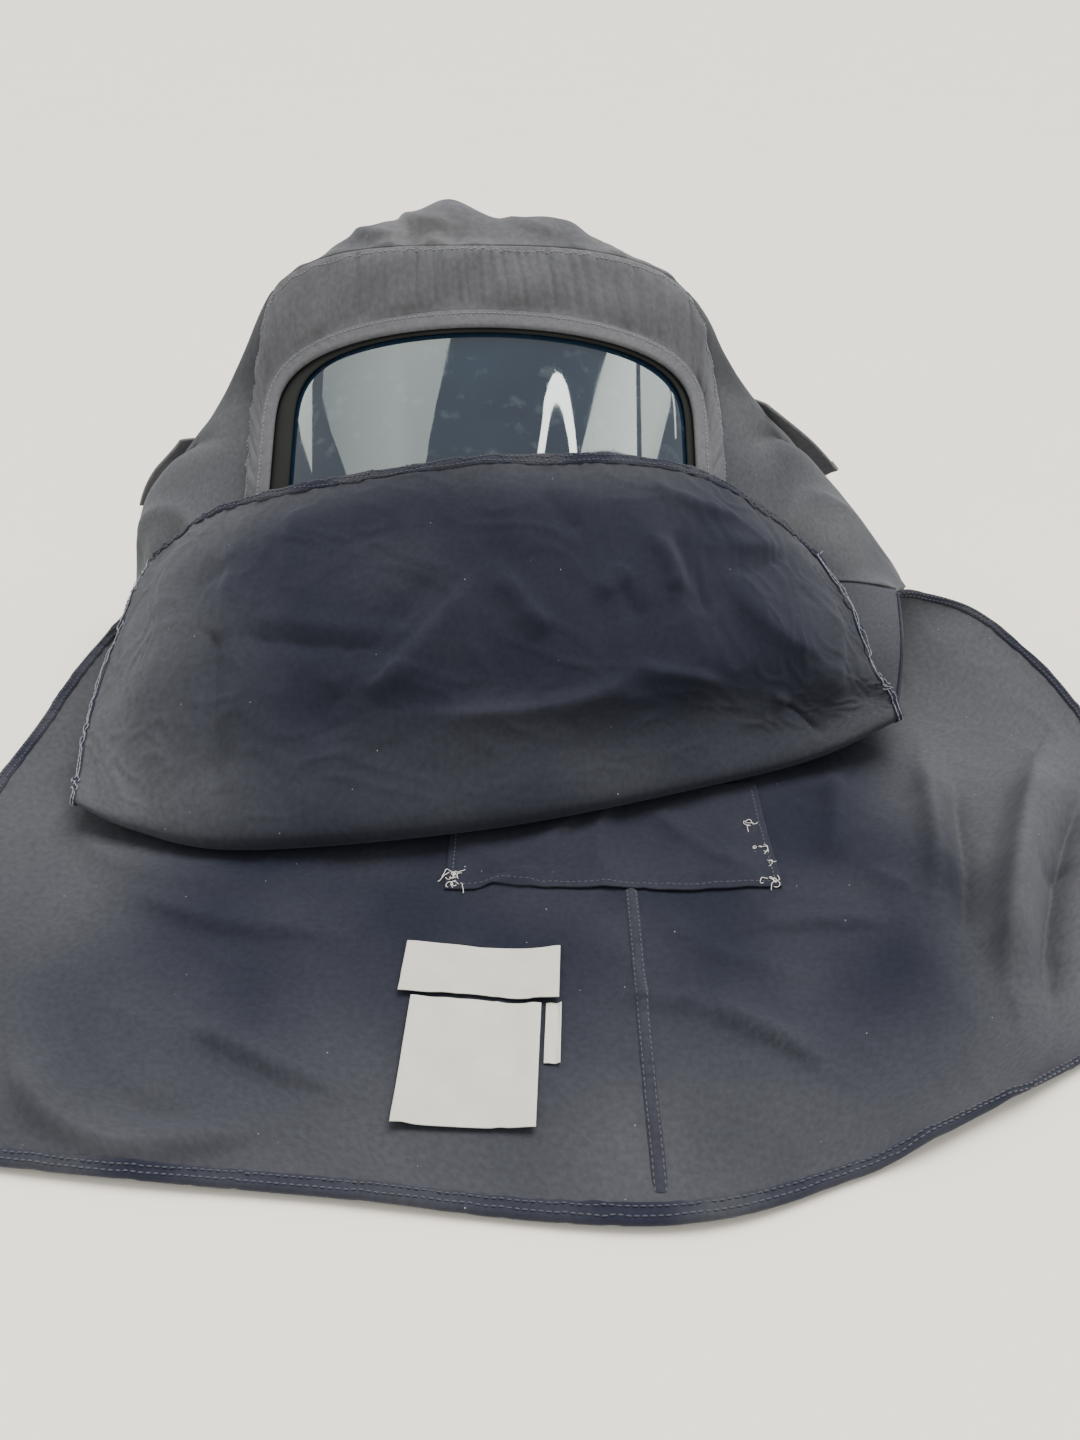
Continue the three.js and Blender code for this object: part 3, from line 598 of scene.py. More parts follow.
def rubber_foam():
    material, tree = new_material("black_rubber_foam")
    place = node(tree, "ShaderNodeTexCoord").outputs["Object"]
    pores = node(tree, "ShaderNodeTexNoise", {"Vector": place, "Scale": per_metre(1.6), "Detail": 2.0})
    dust = node(tree, "ShaderNodeTexNoise", {"Vector": place, "Scale": per_metre(30), "Detail": 3.0})
    colour = node(tree, "ShaderNodeMix", {
        MIX_FACTOR: dust.outputs[0], MIX_A: linear("#121414"), MIX_B: linear("#222525"),
    }, data_type="RGBA").outputs[MIX_RESULT]
    normal = node(tree, "ShaderNodeBump", {
        "Height": pores.outputs[0], "Strength": 0.4, "Distance": 0.2 * MM,
    }).outputs[0]
    finish_material(tree, {
        "Base Color": colour, "Normal": normal, "Roughness": 0.8, "Specular IOR Level": 0.3,
    })
    return material


def polycarbonate():
    material, tree = new_material("tinted_polycarbonate")
    place = node(tree, "ShaderNodeTexCoord").outputs["Object"]
    rubs = node(tree, "ShaderNodeTexNoise", {"Vector": place, "Scale": per_metre(45), "Detail": 5.0})
    squeezed = node(tree, "ShaderNodeMapping", {"Vector": place, "Scale": (1.0, 0.12, 0.12)})
    scratches = node(tree, "ShaderNodeTexNoise", {
        "Vector": squeezed.outputs[0], "Scale": per_metre(1.5), "Detail": 2.0,
    })
    haze = node(tree, "ShaderNodeMapRange", {0: rubs.outputs[0], 1: 0.45, 2: 0.75, 3: 0.02, 4: 0.07})
    scratched = node(tree, "ShaderNodeMapRange", {0: scratches.outputs[0], 1: 0.64, 2: 0.74, 3: 0.0, 4: 0.06})
    roughness = node(tree, "ShaderNodeMath", {0: haze.outputs[0], 1: scratched.outputs[0]}).outputs[0]
    colour = node(tree, "ShaderNodeMix", {
        MIX_FACTOR: rubs.outputs[0], MIX_A: linear("#0c1a2a"), MIX_B: linear("#1a2c3e"),
    }, data_type="RGBA").outputs[MIX_RESULT]
    fingers = node(tree, "ShaderNodeTexNoise", {"Vector": place, "Scale": per_metre(13), "Detail": 8.0})
    marks = node(tree, "ShaderNodeMapRange", {0: fingers.outputs[0], 1: 0.58, 2: 0.85, 3: 0.0, 4: 0.22})
    colour = node(tree, "ShaderNodeMix", {
        MIX_FACTOR: marks.outputs[0], MIX_A: colour, MIX_B: linear("#7d8a92"),
    }, data_type="RGBA").outputs[MIX_RESULT]
    finish_material(tree, {"Base Color": colour, "Roughness": roughness, "IOR": 1.58})
    return material


STITCHING = thread_material("polyester_thread", "#767b89")
DARK_STITCHING = thread_material("dark_polyester_thread", "#3c404c")
WHITE_THREAD = thread_material("white_cotton_thread", "#d9dad6")
TAPE = satin_tape()
TAN_TAPE = thread_material("tan_binding_tape", "#b28f79")
RUBBER = rubber_foam()
TINTED = polycarbonate()
print("materials:", len(bpy.data.materials))

# %% [markdown]
# ## Stitches
# A row of machine stitches is the same short thread again and again along a path, which is what Geometry
# Nodes are good at. The tree takes a line of edges, walks along it in steps of one stitch, sets a slim
# pointed ellipsoid at each step, turned along the line, and makes it all one mesh.

# %% Tree for stitches and threads
STITCH = {"pitch": 3.4 * MM, "length": 2.5 * MM, "thickness": 0.75 * MM}
BALL = {"Segments": 6, "Rings": 4, "Radius": 0.5}
STITCH_FACES = BALL["Segments"] * BALL["Rings"]


def new_tree(name, sizes):
    tree = bpy.data.node_groups.new(name, "GeometryNodeTree")
    tree.interface.new_socket(name="Line", in_out="INPUT", socket_type="NodeSocketGeometry")
    for size in sizes:
        tree.interface.new_socket(name=size, in_out="INPUT", socket_type="NodeSocketFloat")
    tree.interface.new_socket(name="Material", in_out="INPUT", socket_type="NodeSocketMaterial")
    tree.interface.new_socket(name="Result", in_out="OUTPUT", socket_type="NodeSocketGeometry")
    return tree, node(tree, "NodeGroupInput").outputs


def end_tree(tree, given, geometry):
    whole = node(tree, "GeometryNodeRealizeInstances", {"Geometry": geometry}).outputs[0]
    coloured = node(tree, "GeometryNodeSetMaterial", {"Geometry": whole, "Material": given["Material"]})
    node(tree, "NodeGroupOutput", {"Result": coloured.outputs[0]})
    return tree


def stitch_tree():
    tree, given = new_tree("stitches_along_line", ["Pitch", "Length", "Thickness"])
    line = node(tree, "GeometryNodeMeshToCurve", {"Mesh": given["Line"]}).outputs[0]
    steps = node(tree, "GeometryNodeResampleCurve", {"Curve": line, "Length": given["Pitch"]}, mode="LENGTH")
    ball = node(tree, "GeometryNodeMeshUVSphere", BALL).outputs[0]
    size = node(tree, "ShaderNodeCombineXYZ", {
        "X": given["Thickness"], "Y": given["Thickness"], "Z": given["Length"],
    }).outputs[0]
    stitch = node(tree, "GeometryNodeTransform", {"Geometry": ball, "Scale": size}).outputs[0]
    along = node(tree, "GeometryNodeInputTangent").outputs[0]
    turn = node(tree, "FunctionNodeAlignRotationToVector", {"Vector": along}, axis="Z").outputs[0]
    row = node(tree, "GeometryNodeInstanceOnPoints", {
        "Points": steps.outputs[0], "Instance": stitch, "Rotation": turn,
    }).outputs[0]
    return end_tree(tree, given, row)


def thread_tree():
    tree, given = new_tree("round_threads", ["Radius"])
    line = node(tree, "GeometryNodeMeshToCurve", {"Mesh": given["Line"]}).outputs[0]
    section = node(tree, "GeometryNodeCurvePrimitiveCircle", {"Resolution": 5, "Radius": given["Radius"]})
    tube = node(tree, "GeometryNodeCurveToMesh", {
        "Curve": line, "Profile Curve": section.outputs[0], "Fill Caps": True,
    }).outputs[0]
    return end_tree(tree, given, tube)


STITCHES = stitch_tree()
THREADS = thread_tree()


def line_object(name, lines):
    """An object of bare edges through lists of points."""
    points = np.concatenate(lines)
    ends = np.cumsum([len(line) for line in lines])
    starts = ends - [len(line) for line in lines]
    edges = [(k, k + 1) for start, end in zip(starts, ends) for k in range(start, end - 1)]
    mesh = bpy.data.meshes.new(name)
    mesh.from_pydata(points.tolist(), edges, [])
    line = bpy.data.objects.new(name, mesh)
    bpy.context.scene.collection.objects.link(line)
    return line


def from_tree(name, source, tree, values):
    """Runs a tree on an object and leaves the result as a plain mesh in its place."""
    modifier = source.modifiers.new("tree", "NODES")
    modifier.node_group = tree
    for item in tree.interface.items_tree:
        if item.name in values:
            modifier[item.identifier] = values[item.name]
    graph = bpy.context.evaluated_depsgraph_get()
    mesh = bpy.data.meshes.new_from_object(source.evaluated_get(graph))
    mesh.polygons.foreach_set("use_smooth", np.ones(len(mesh.polygons), bool))
    piece = bpy.data.objects.new(name, mesh)
    bpy.context.scene.collection.objects.link(piece)
    bpy.data.objects.remove(source)
    return piece


def stitched(name, lines, material=STITCHING, length=STITCH["length"]):
    """Sews stitches along lines of points."""
    values = {"Pitch": STITCH["pitch"], "Length": length, "Thickness": STITCH["thickness"],
              "Material": material}
    piece = from_tree(name, line_object(name + "_line", lines), STITCHES, values)
    print(name, "has", len(piece.data.polygons) // STITCH_FACES, "stitches")
    join_body(piece)


# %% [markdown]
# ## Surfaces that carry details
# A seam, a hem or a stitch has to lie on the rumpled cloth, not on the smooth section surface. So each panel
# is first a function that gives the rumpled place for any shares s and t. The mesh, its hem and its stitches
# all ask the same function.

# %% Rumpled surfaces
STEP = 0.002
HALF = CLOTH / 2
HEM_WIDTH = 12 * MM
HEM_CLOTH = 0.9 * MM
HEM_PUCKER = 11 * MM
HEM_STEPS = (170, 260)
STITCHED_STEPS = (240, 380)
RIPPLES = 5
RIPPLE_PEAK = 2.2
MEASURED_STEPS = 60


def unit(vectors):
    return vectors / np.maximum(np.linalg.norm(vectors, axis=-1, keepdims=True), 1e-12)


def normal_at(surface, s, t):
    right = surface(np.minimum(1, s + STEP), t) - surface(np.maximum(0, s - STEP), t)
    on = surface(s, np.minimum(1, t + STEP)) - surface(s, np.maximum(0, t - STEP))
    return unit(np.cross(right, on))


def raised(surface, height):
    """The surface with a height function added along its normals."""
    return lambda s, t: surface(s, t) + normal_at(surface, s, t) * height(s, t)[..., None]


def surface_size(surface, s=(0.0, 1.0), t=(0.0, 1.0)):
    """Mean width and length of a stretch of a surface, in metres, measured over the cloth."""
    points = surface(*np.meshgrid(np.linspace(*s, MEASURED_STEPS), np.linspace(*t, MEASURED_STEPS)))
    width = np.linalg.norm(np.diff(points, axis=1), axis=2).sum(1).mean()
    length = np.linalg.norm(np.diff(points, axis=0), axis=2).sum(0).mean()
    return float(width), float(length)


def on_grid(surface, s, t):
    return surface(*np.meshgrid(s, t))


def border(inset, size, start, steps):
    """Shares of a line up the left side of a piece, over its end and down the right side, inset by metres."""
    side_count, end_count = steps
    side, end = inset / size[0], inset / size[1]
    up = np.linspace(start, 1 - end, side_count)
    over = np.linspace(side, 1 - side, end_count)[1:-1]
    s = np.concatenate([np.full(side_count, side), over, np.full(side_count, 1 - side)])
    t = np.concatenate([up, np.full(end_count - 2, 1 - end), up[::-1]])
    return s, t


def ripple(distance, pitch, seed):
    """Uneven waves along a seam, from about -1 to 1."""
    rng = np.random.default_rng(seed)
    total = np.zeros(np.shape(distance))
    for _ in range(RIPPLES):
        total += np.sin(2 * math.pi * distance / (pitch * rng.uniform(0.6, 1.7)) + rng.uniform(0, 7))
    return total / RIPPLE_PEAK


# Across a hem: the inset from the edge in millimetres, and the height in halves of the cloth's wall.
HEM_SECTION = [(12.0, 0.95), (11.7, 1.1), (10.0, 1.15), (7.0, 1.1), (4.0, 1.15), (1.6, 1.1), (0.0, 0.8),
               (-0.5, 0.1), (-0.4, -0.7), (0.6, -1.1), (3.0, -1.15), (6.0, -1.1)]


def hem(node_name, surface, size, start, seed, pucker, crowded=0.0):
    """A turned hem: a strip of cloth that is folded round the edge of a surface at both sides and its end.

    Its puckers are pucker high in metres, and taller by the share crowded in the second half of the way.
    """
    edge = surface(*border(0, size, start, HEM_STEPS))
    inner = surface(*border(2 * MM, size, start, HEM_STEPS))
    outward = unit(edge - inner)
    distance = np.concatenate([[0], np.cumsum(np.linalg.norm(np.diff(edge, axis=0), axis=1))])
    reach = pucker * (1 + crowded * smooth((distance / distance[-1] - 0.5) / 0.12))
    rows = []
    for inset, height in HEM_SECTION:
        wave = ripple(distance + 0.15 * inset * MM, HEM_PUCKER, seed) * reach * smooth(inset / 4)
        raise_by = (height * HALF + wave + 0.25 * MM * height)[:, None]
        place = on_border(surface, size, start, max(0, inset) * MM, raise_by, HEM_STEPS)
        rows.append(place - outward * min(0, inset) * MM)
    worn = np.clip(0.3 + 0.3 * waves(distance, distance * 0, 60 * MM, seed + 9), 0, 1)
    return dress(node_name, "cloth", np.array(rows), "trim", HEMS, thickness=HEM_CLOTH, worn=worn)


def on_border(surface, size, start, inset, height, steps=STITCHED_STEPS):
    s, t = border(inset, size, start, steps)
    return surface(s, t) + normal_at(surface, s, t) * height


print("hem", HEM_WIDTH / MM, "mm wide")

# %% [markdown]
# ## Window surround
# The face of the hood is one ring of cloth. Its inner edge follows the bent window, a rounded rectangle
# whose corners are a superellipse. Its outer edge is sewn to the crown at the brow and to the side panels.
# The brow is slightly gathered, so fine puckers run across it from seam to seam.

# %% Window surround
WINDOW = {"width": 316 * MM, "height": 150 * MM, "corner": 5.4, "bend": 250 * MM, "slope": math.radians(38)}
WINDOW_CENTRE = np.array([-0.126, 0.338, 0.653]) * HALF_SIZES
GASKET_SHOWS = {"side": 12 * MM, "end": 3 * MM}
GASKET_ASKEW = 5.5 * MM
GASKET_HIDDEN = 7 * MM
GASKET = 2.2 * MM
LENS = 2.4 * MM
LENS_SEAT = 5 * MM
GAP = 0.35 * MM
SURROUND_SWELL = 3 * MM
HEM_PART = 0.22
WINDOW_RADIUS = 0.15
WINDOW_ROUND = 0.86


def face(across, up):
    """A place on the bent face of the window, and its normal."""
    angle = across / WINDOW["bend"]
    sine, cosine = math.sin(WINDOW["slope"]), math.cos(WINDOW["slope"])
    back = WINDOW["bend"] * (1 - np.cos(angle))
    aside = WINDOW["bend"] * np.sin(angle)
    offset = np.stack([aside, up * cosine + back * sine, up * sine - back * cosine], -1)
    normal = np.stack([np.sin(angle), -sine * np.cos(angle), cosine * np.cos(angle)], -1)
    return WINDOW_CENTRE + offset, normal


def around_square(side_count, end_count):
    """Places around a square from -1 to 1, from its lower left corner up its left side."""
    up = np.linspace(-1, 1, side_count, endpoint=False)
    over = np.linspace(-1, 1, end_count, endpoint=False)
    a = np.concatenate([-np.ones(side_count), over, np.ones(side_count), -over])
    b = np.concatenate([up, np.ones(end_count), -up, -np.ones(end_count)])
    return a, b


def outline(square, side, end):
    """The window's outline, grown by side and end beyond the opening."""
    a, b = square
    corner = WINDOW["corner"]
    round_off = (np.abs(a) ** corner + np.abs(b) ** corner) ** (-1 / corner)
    return a * round_off * (WINDOW["width"] / 2 + side), b * round_off * (WINDOW["height"] / 2 + end)


def hood_skin(s, t):
    return loft(HOOD_SECTIONS, s, t)


def skin_shares(square):
    a, b = square
    return LEFT_EDGE + (RIGHT_EDGE - LEFT_EDGE) * (a + 1) / 2, BROW * (b + 1) / 2


def surround(square, out):
    """The ring of cloth round the window: out goes from 0 at the opening to 1 at the seams."""
    growth = HEM_WIDTH * np.minimum(1, out / HEM_PART)
    inner, lean = face(*outline(square, growth, growth))
    share = np.clip((out - HEM_PART) / (1 - HEM_PART), 0, 1)[..., None]
    outer = hood_skin(*skin_shares(square))
    return inner + (outer - inner) * share + lean * SURROUND_SWELL * np.sin(math.pi * share)


def surround_height(square, out):
    """Height of the ring's puckers: they run across it, and finer ones crowd at its outer seam."""
    a, b = square
    inner, _ = face(*outline(square, 0, 0))
    distance = np.arctan2(b * WINDOW["height"], a * WINDOW["width"]) * WINDOW_RADIUS
    free = smooth((out - HEM_PART) / 0.12) * smooth((1 - out) / 0.1)
    puckers = ripple(distance, 15 * MM, 5) * 0.7 * MM
    soft = waves(inner[..., 0], inner[..., 1] + 0.1 * out, 60 * MM, 6) * 1.4 * MM
    at_seam = smooth((out - 0.6) / 0.3) * smooth((1 - out) / 0.05)
    return free * (puckers + soft) + ripple(distance, 9 * MM, 7) * 0.45 * MM * at_seam


SQUARE = around_square(80, 170)
OUT_SHARES = np.concatenate([[0, 0.012, 0.03], np.linspace(0.05, 0.985, 36), [0.99, 0.996, 1]])


def surround_grid(square, outs):
    rings = [np.full(len(square[0]), out) for out in outs]
    points = np.array([surround(square, ring) for ring in rings])
    heights = np.array([surround_height(square, ring) for ring in rings])
    return points + normals_of(points, ring=True) * heights[..., None]


surround_points = surround_grid(SQUARE, OUT_SHARES)
speckle = np.random.default_rng(3).uniform(0, 0.02, surround_points.shape[:2])
rubbed = 0.35 * near_edge(1 - OUT_SHARES, 0.16) + 0.2 * near_edge(np.abs(OUT_SHARES - HEM_PART), 0.08)
front_panel = dress("front_panel", "cloth", surround_points, "cloth", OUTER,
                    worn=0.35 + rubbed[:, None] + speckle, ring=True)
print("front panel has", len(front_panel.data.polygons), "faces")

# %% [markdown]
# The window's hem is the same cloth turned back and stitched down, so it stands one layer higher and rolls
# over the opening. The rubber facing and the window lie behind it in the same bend. The facing sits a little
# askew, so more of it shows at the left than at the right. A second row of stitches holds the brow.

# %% Window hem, gasket and lens
# Across the hem: growth beyond the opening and height over the window's face, in millimetres.
WINDOW_HEM_SECTION = [(-0.5, -0.5), (-1.3, 0.4), (-0.9, 1.4), (0.6, 1.95), (3.0, 1.9), (6.0, 1.75),
                      (9.0, 1.85), (11.2, 1.75), (12.0, 1.3)]
BROW_STITCHES = {"out": 0.93, "step": 0.02, "lift": 1.5 * MM, "above": -0.98}


def face_rows(rows, square, askew=0):
    """Rows of places on the window's face, and their normals.

    A row gives the growth at the sides and at the ends, the share of the way from the middle, and the
    height. Where it shows beyond the opening it is moved to the right by up to askew.
    """
    points, normals = [], []
    for side, end, share, height in rows:
        across, up = outline(square, side, end)
        shift = askew * smooth(-side / GASKET_SHOWS["side"])
        place, normal = face(across * share + shift, up * share)
        points.append(place + normal * np.asarray(height)[..., None])
        normals.append(normal)
    return np.array(points), np.array(normals)


hem_wave = ripple(np.linspace(0, WINDOW_ROUND, len(SQUARE[0]), endpoint=False), 10 * MM, 12) * 0.2 * MM
hem_rows = [(grow * MM, grow * MM, 1, high * MM + hem_wave * smooth(grow / 5))
            for grow, high in WINDOW_HEM_SECTION]
hem_points, _ = face_rows(hem_rows, SQUARE)
window_hem = dress("window_hem", "cloth", hem_points, "trim", OUTER, thickness=HEM_CLOTH, worn=0.5, ring=True)

gasket_middle = -HALF - GAP - GASKET / 2
gasket_shares = np.concatenate([[0, 0.03, 0.08], np.linspace(0.12, 0.9, 8), [0.94, 0.97, 1]])
gasket_rows = [((GASKET_SHOWS["side"] + GASKET_HIDDEN) * k - GASKET_SHOWS["side"],
                (GASKET_SHOWS["end"] + GASKET_HIDDEN) * k - GASKET_SHOWS["end"], 1, gasket_middle)
               for k in gasket_shares]
gasket_points, gasket_normals = face_rows(gasket_rows, SQUARE, GASKET_ASKEW)
dress("window_gasket", "foam", gasket_points, "gasket", RUBBER, thickness=GASKET, ring=True,
      normal=gasket_normals)

lens_middle = gasket_middle - GASKET / 2 - 2 * GAP - LENS / 2
lens_shares = np.concatenate([np.linspace(0, 0.985, 14), [0.99, 0.996, 1]])
lens_rows = [(LENS_SEAT - GASKET_SHOWS["side"], LENS_SEAT - GASKET_SHOWS["end"], k, lens_middle)
             for k in lens_shares]
lens_points, lens_normals = face_rows(lens_rows, SQUARE, GASKET_ASKEW)
dress("lens", "sheet", lens_points, "lens", TINTED, thickness=LENS, ring=True, disc=True,
      normal=lens_normals)
hem_line, _ = face_rows([(8.5 * MM, 8.5 * MM, 1, 2.5 * MM + hem_wave * 0.9)], SQUARE)
stitched("window_hem_stitches", [closed(hem_line)[0]])

brow_outs = [BROW_STITCHES["out"] + k * BROW_STITCHES["step"] for k in (-1, 0, 1)]
brow_rows = surround_grid(SQUARE, brow_outs)
brow_line = brow_rows[1] + normals_of(brow_rows, ring=True)[1] * BROW_STITCHES["lift"]
stitched("brow_stitches", [brow_line[SQUARE[1] > BROW_STITCHES["above"]]])
print("opening", round(WINDOW["width"] / MM), "by", round(WINDOW["height"] / MM), "mm along its bend")

# %% [markdown]
# ## Crown
# The crown is cut wider than the brow and gathered into the seam, so it stands up in three soft bumps, with
# folds between them and small pleats that run back from the seam and die out. The bumps and the folds have
# named places. The pleats are waves of uneven width that are tallest just behind the seam.

# %% Crown
BUMP_START = {"brow": 0.15, "side": 0.1}
CROWN_BUMPS = [
    {"across": 0.26, "along": 0.22, "height": 9, "width": 0.11},
    {"across": 0.43, "along": 0.26, "height": 17, "width": 0.09},
    {"across": 0.70, "along": 0.20, "height": 11, "width": 0.10},
]
CROWN_SIZE = surface_size(hood_skin, (LEFT_EDGE, RIGHT_EDGE), (BROW, 1))


def crown_base(s, t):
    point = hood_skin(s, t)
    across = (s - LEFT_EDGE) / (RIGHT_EDGE - LEFT_EDGE)
    along = (t - BROW) / (1 - BROW)
    start = smooth(across / BUMP_START["side"]) * smooth((1 - across) / BUMP_START["side"])
    start = start * smooth(along / BUMP_START["brow"])
    for bump in CROWN_BUMPS:
        swell = bell((across - bump["across"]) / bump["width"])
        swell = swell * bell((along - bump["along"]) / bump["width"] / 2)
        point[..., 2] += bump["height"] * MM * swell * start
    return point


CROWN_FOLDS = [
    ([(0.32, 0.30), (0.36, 0.13), (0.46, 0.09)], 5, 6, 0.4),
    ([(0.585, 0.28), (0.615, 0.12), (0.70, 0.08)], 3, 7, 0.4),
    ([(0.20, 0.22), (0.25, 0.10), (0.33, 0.07)], 4, 6, 0.3),
    ([(0.78, 0.25), (0.82, 0.12), (0.88, 0.08)], 2, 7, 0.3),
]


def crown_height(s, t):
    across = (s - LEFT_EDGE) / (RIGHT_EDGE - LEFT_EDGE)
    along = (t - BROW) / (1 - BROW)
    u, v = across * CROWN_SIZE[0], along * CROWN_SIZE[1]
    sides = smooth(across / 0.04) * smooth((1 - across) / 0.04)
    pleats = ripple(u + 0.1 * v * np.sin(30 * u), 17 * MM, 21) * 1.6 * MM
    pleats = pleats * bell(v / (45 * MM)) * smooth(v / (4 * MM))
    soft = waves(u, v, 60 * MM, 22) * 1.8 * MM * smooth(v / (15 * MM))
    fine = waves(u, v, 22 * MM, 23) * 0.25 * MM * smooth(v / (6 * MM))
    folds = fold_height(CROWN_FOLDS, across, along, CROWN_SIZE) * smooth(v / (5 * MM))
    return (pleats + soft + fine + folds) * sides * smooth((1 - along) / 0.05)


crown_at = raised(crown_base, crown_height)
crown_points = on_grid(crown_at, shares(112, 0.004, LEFT_EDGE, RIGHT_EDGE), shares(104, 0.005, BROW, 0.998))
crown_worn = np.clip(0.5 + 0.3 * waves(crown_points[..., 0], crown_points[..., 2], 70 * MM, 25), 0, 1)
crown = dress("crown", "cloth", crown_points, "cloth", OUTER, worn=crown_worn)
print("crown measures", [round(v, 3) for v in CROWN_SIZE])

# %% [markdown]
# ## Side panels
# A side panel falls from the edge of the head to the shoulder and the table. It carries no weight, so it
# slumps in long soft folds.

# %% Side panels
FOOT_SHORT = 0.004
TAIL_SHORT = 0.002
LEFT_FOLDS = [
    ([(0.30, 0.02), (0.22, 0.16), (0.06, 0.26)], 7, 15, 0.3),
    ([(0.31, 0.26), (0.20, 0.33), (0.05, 0.34)], -7, 12, 0.0),
    ([(0.30, 0.50), (0.18, 0.44), (0.08, 0.42)], 6, 14, -0.3),
    ([(0.24, 0.10), (0.14, 0.08), (0.03, 0.12)], -6, 13, 0.0),
]
RIGHT_FOLDS = [
    ([(0.70, 0.04), (0.80, 0.15), (0.94, 0.22)], 7, 15, -0.3),
    ([(0.69, 0.24), (0.80, 0.30), (0.93, 0.31)], -7, 13, 0.0),
    ([(0.70, 0.47), (0.80, 0.42), (0.90, 0.42)], 6, 14, 0.3),
]
SKIN_SIZE = surface_size(hood_skin)


def side_height(folds, seam, seed):
    def height(s, t):
        u, v = s * SKIN_SIZE[0], t * SKIN_SIZE[1]
        from_seam = np.abs(s - seam) * SKIN_SIZE[0]
        from_foot = np.minimum(s, 1 - s) * SKIN_SIZE[0]
        free = smooth(from_seam / (14 * MM)) * smooth(from_foot / (10 * MM)) * smooth(v / (10 * MM))
        soft = waves(u, v, 75 * MM, seed) * 1.6 * MM
        fine = waves(u, v, 24 * MM, seed + 4) * 0.2 * MM
        return (fold_height(folds, s, t, SKIN_SIZE) + soft + fine) * free * smooth((1 - t) / 0.06)
    return height


side_surfaces = {
    "left": raised(hood_skin, side_height(LEFT_FOLDS, LEFT_EDGE, 31)),
    "right": raised(hood_skin, side_height(RIGHT_FOLDS, RIGHT_EDGE, 41)),
}
side_shares = {"left": (FOOT_SHORT, LEFT_EDGE), "right": (RIGHT_EDGE, 1 - FOOT_SHORT)}
# Each side panel takes the darker copy of the outside cloth: painted shade.
for side, surface in side_surfaces.items():
    points = on_grid(surface, shares(74, 0.004, *side_shares[side]), shares(150, 0.002, 0, 1 - TAIL_SHORT))
    fade_and_haze_share = np.clip(0.4 + 0.3 * waves(points[..., 1], points[..., 2], 80 * MM, 33), 0, 1)
    panel = dress("side_panel_" + side, "cloth", points, "cloth", PAINTED_SHADE_SIDES, worn=fade_and_haze_share)
    print(side, "side panel has", len(panel.data.polygons), "faces")

# %% [markdown]
# ## Rear flaps
# Behind the sides the two corners of a rear flap stand off the cloth. Each is a patch of the hood's own skin
# from a root line to a free side, lifted most at the free front corner. The right one is bound with tan
# tape along the front half of its free side.

# %% Rear flaps
REAR_FLAPS = {
    "left": {"root": 0.22, "corner": 0.112, "front": 0.345, "rear": 0.42, "lift": 13 * MM,
             "flat": (0.062, 0.046)},
    "right": {"root": 0.75, "corner": 0.876, "front": 0.335, "rear": 0.41, "lift": 8 * MM,
              "flat": (0.07, 0.055)},
}
FLAP_CLEAR = 2 * MM
BINDING = {"lift": 2 * MM, "cloth": 0.9 * MM}


def rear_flap_at(flap):
    def surface(u, v):
        s = flap["root"] + (flap["corner"] - flap["root"]) * u
        t = flap["front"] + (flap["rear"] - flap["front"]) * v
        lift = CLOTH + 2 * GAP + flap["lift"] * smooth(u) * smooth(1 - v)
        return hood_skin(s, t) + normal_at(hood_skin, s, t) * (lift + FLAP_CLEAR)[..., None]
    return surface


# Each flap takes the outside cloth at its palest: painted light, which lifts the shaded underside that faces
# the camera.
for side, flap in REAR_FLAPS.items():
    points = on_grid(rear_flap_at(flap), shares(26, 0.02), shares(22, 0.04))
    if side == "left":
        points = points[:, ::-1]
    flap_cloth = dress("rear_flap_" + side, "cloth", points, "cloth", OUTER, worn=1.0)
tape_points = on_grid(rear_flap_at(REAR_FLAPS["right"]), shares(8, 0.02, 0.93, 1.0),
                      shares(14, 0.03, 0.02, 0.5))
tape_points = tape_points + normals_of(tape_points) * BINDING["lift"]
join_body(sheet("rear_flap_binding", tape_points, BINDING["cloth"]), TAN_TAPE)
print("rear flaps made")

# %% [markdown]
# ## Front bib
# The bib hangs from the chin seam, turns over in a soft roll and lies back over the window, so the side that
# shows is the inside. Its folds were read off the photograph one by one. The mesh is finest on the part that
# shows. The stitches of the side hems catch the light, so they are paler and drawn a little longer than
# those at the end.

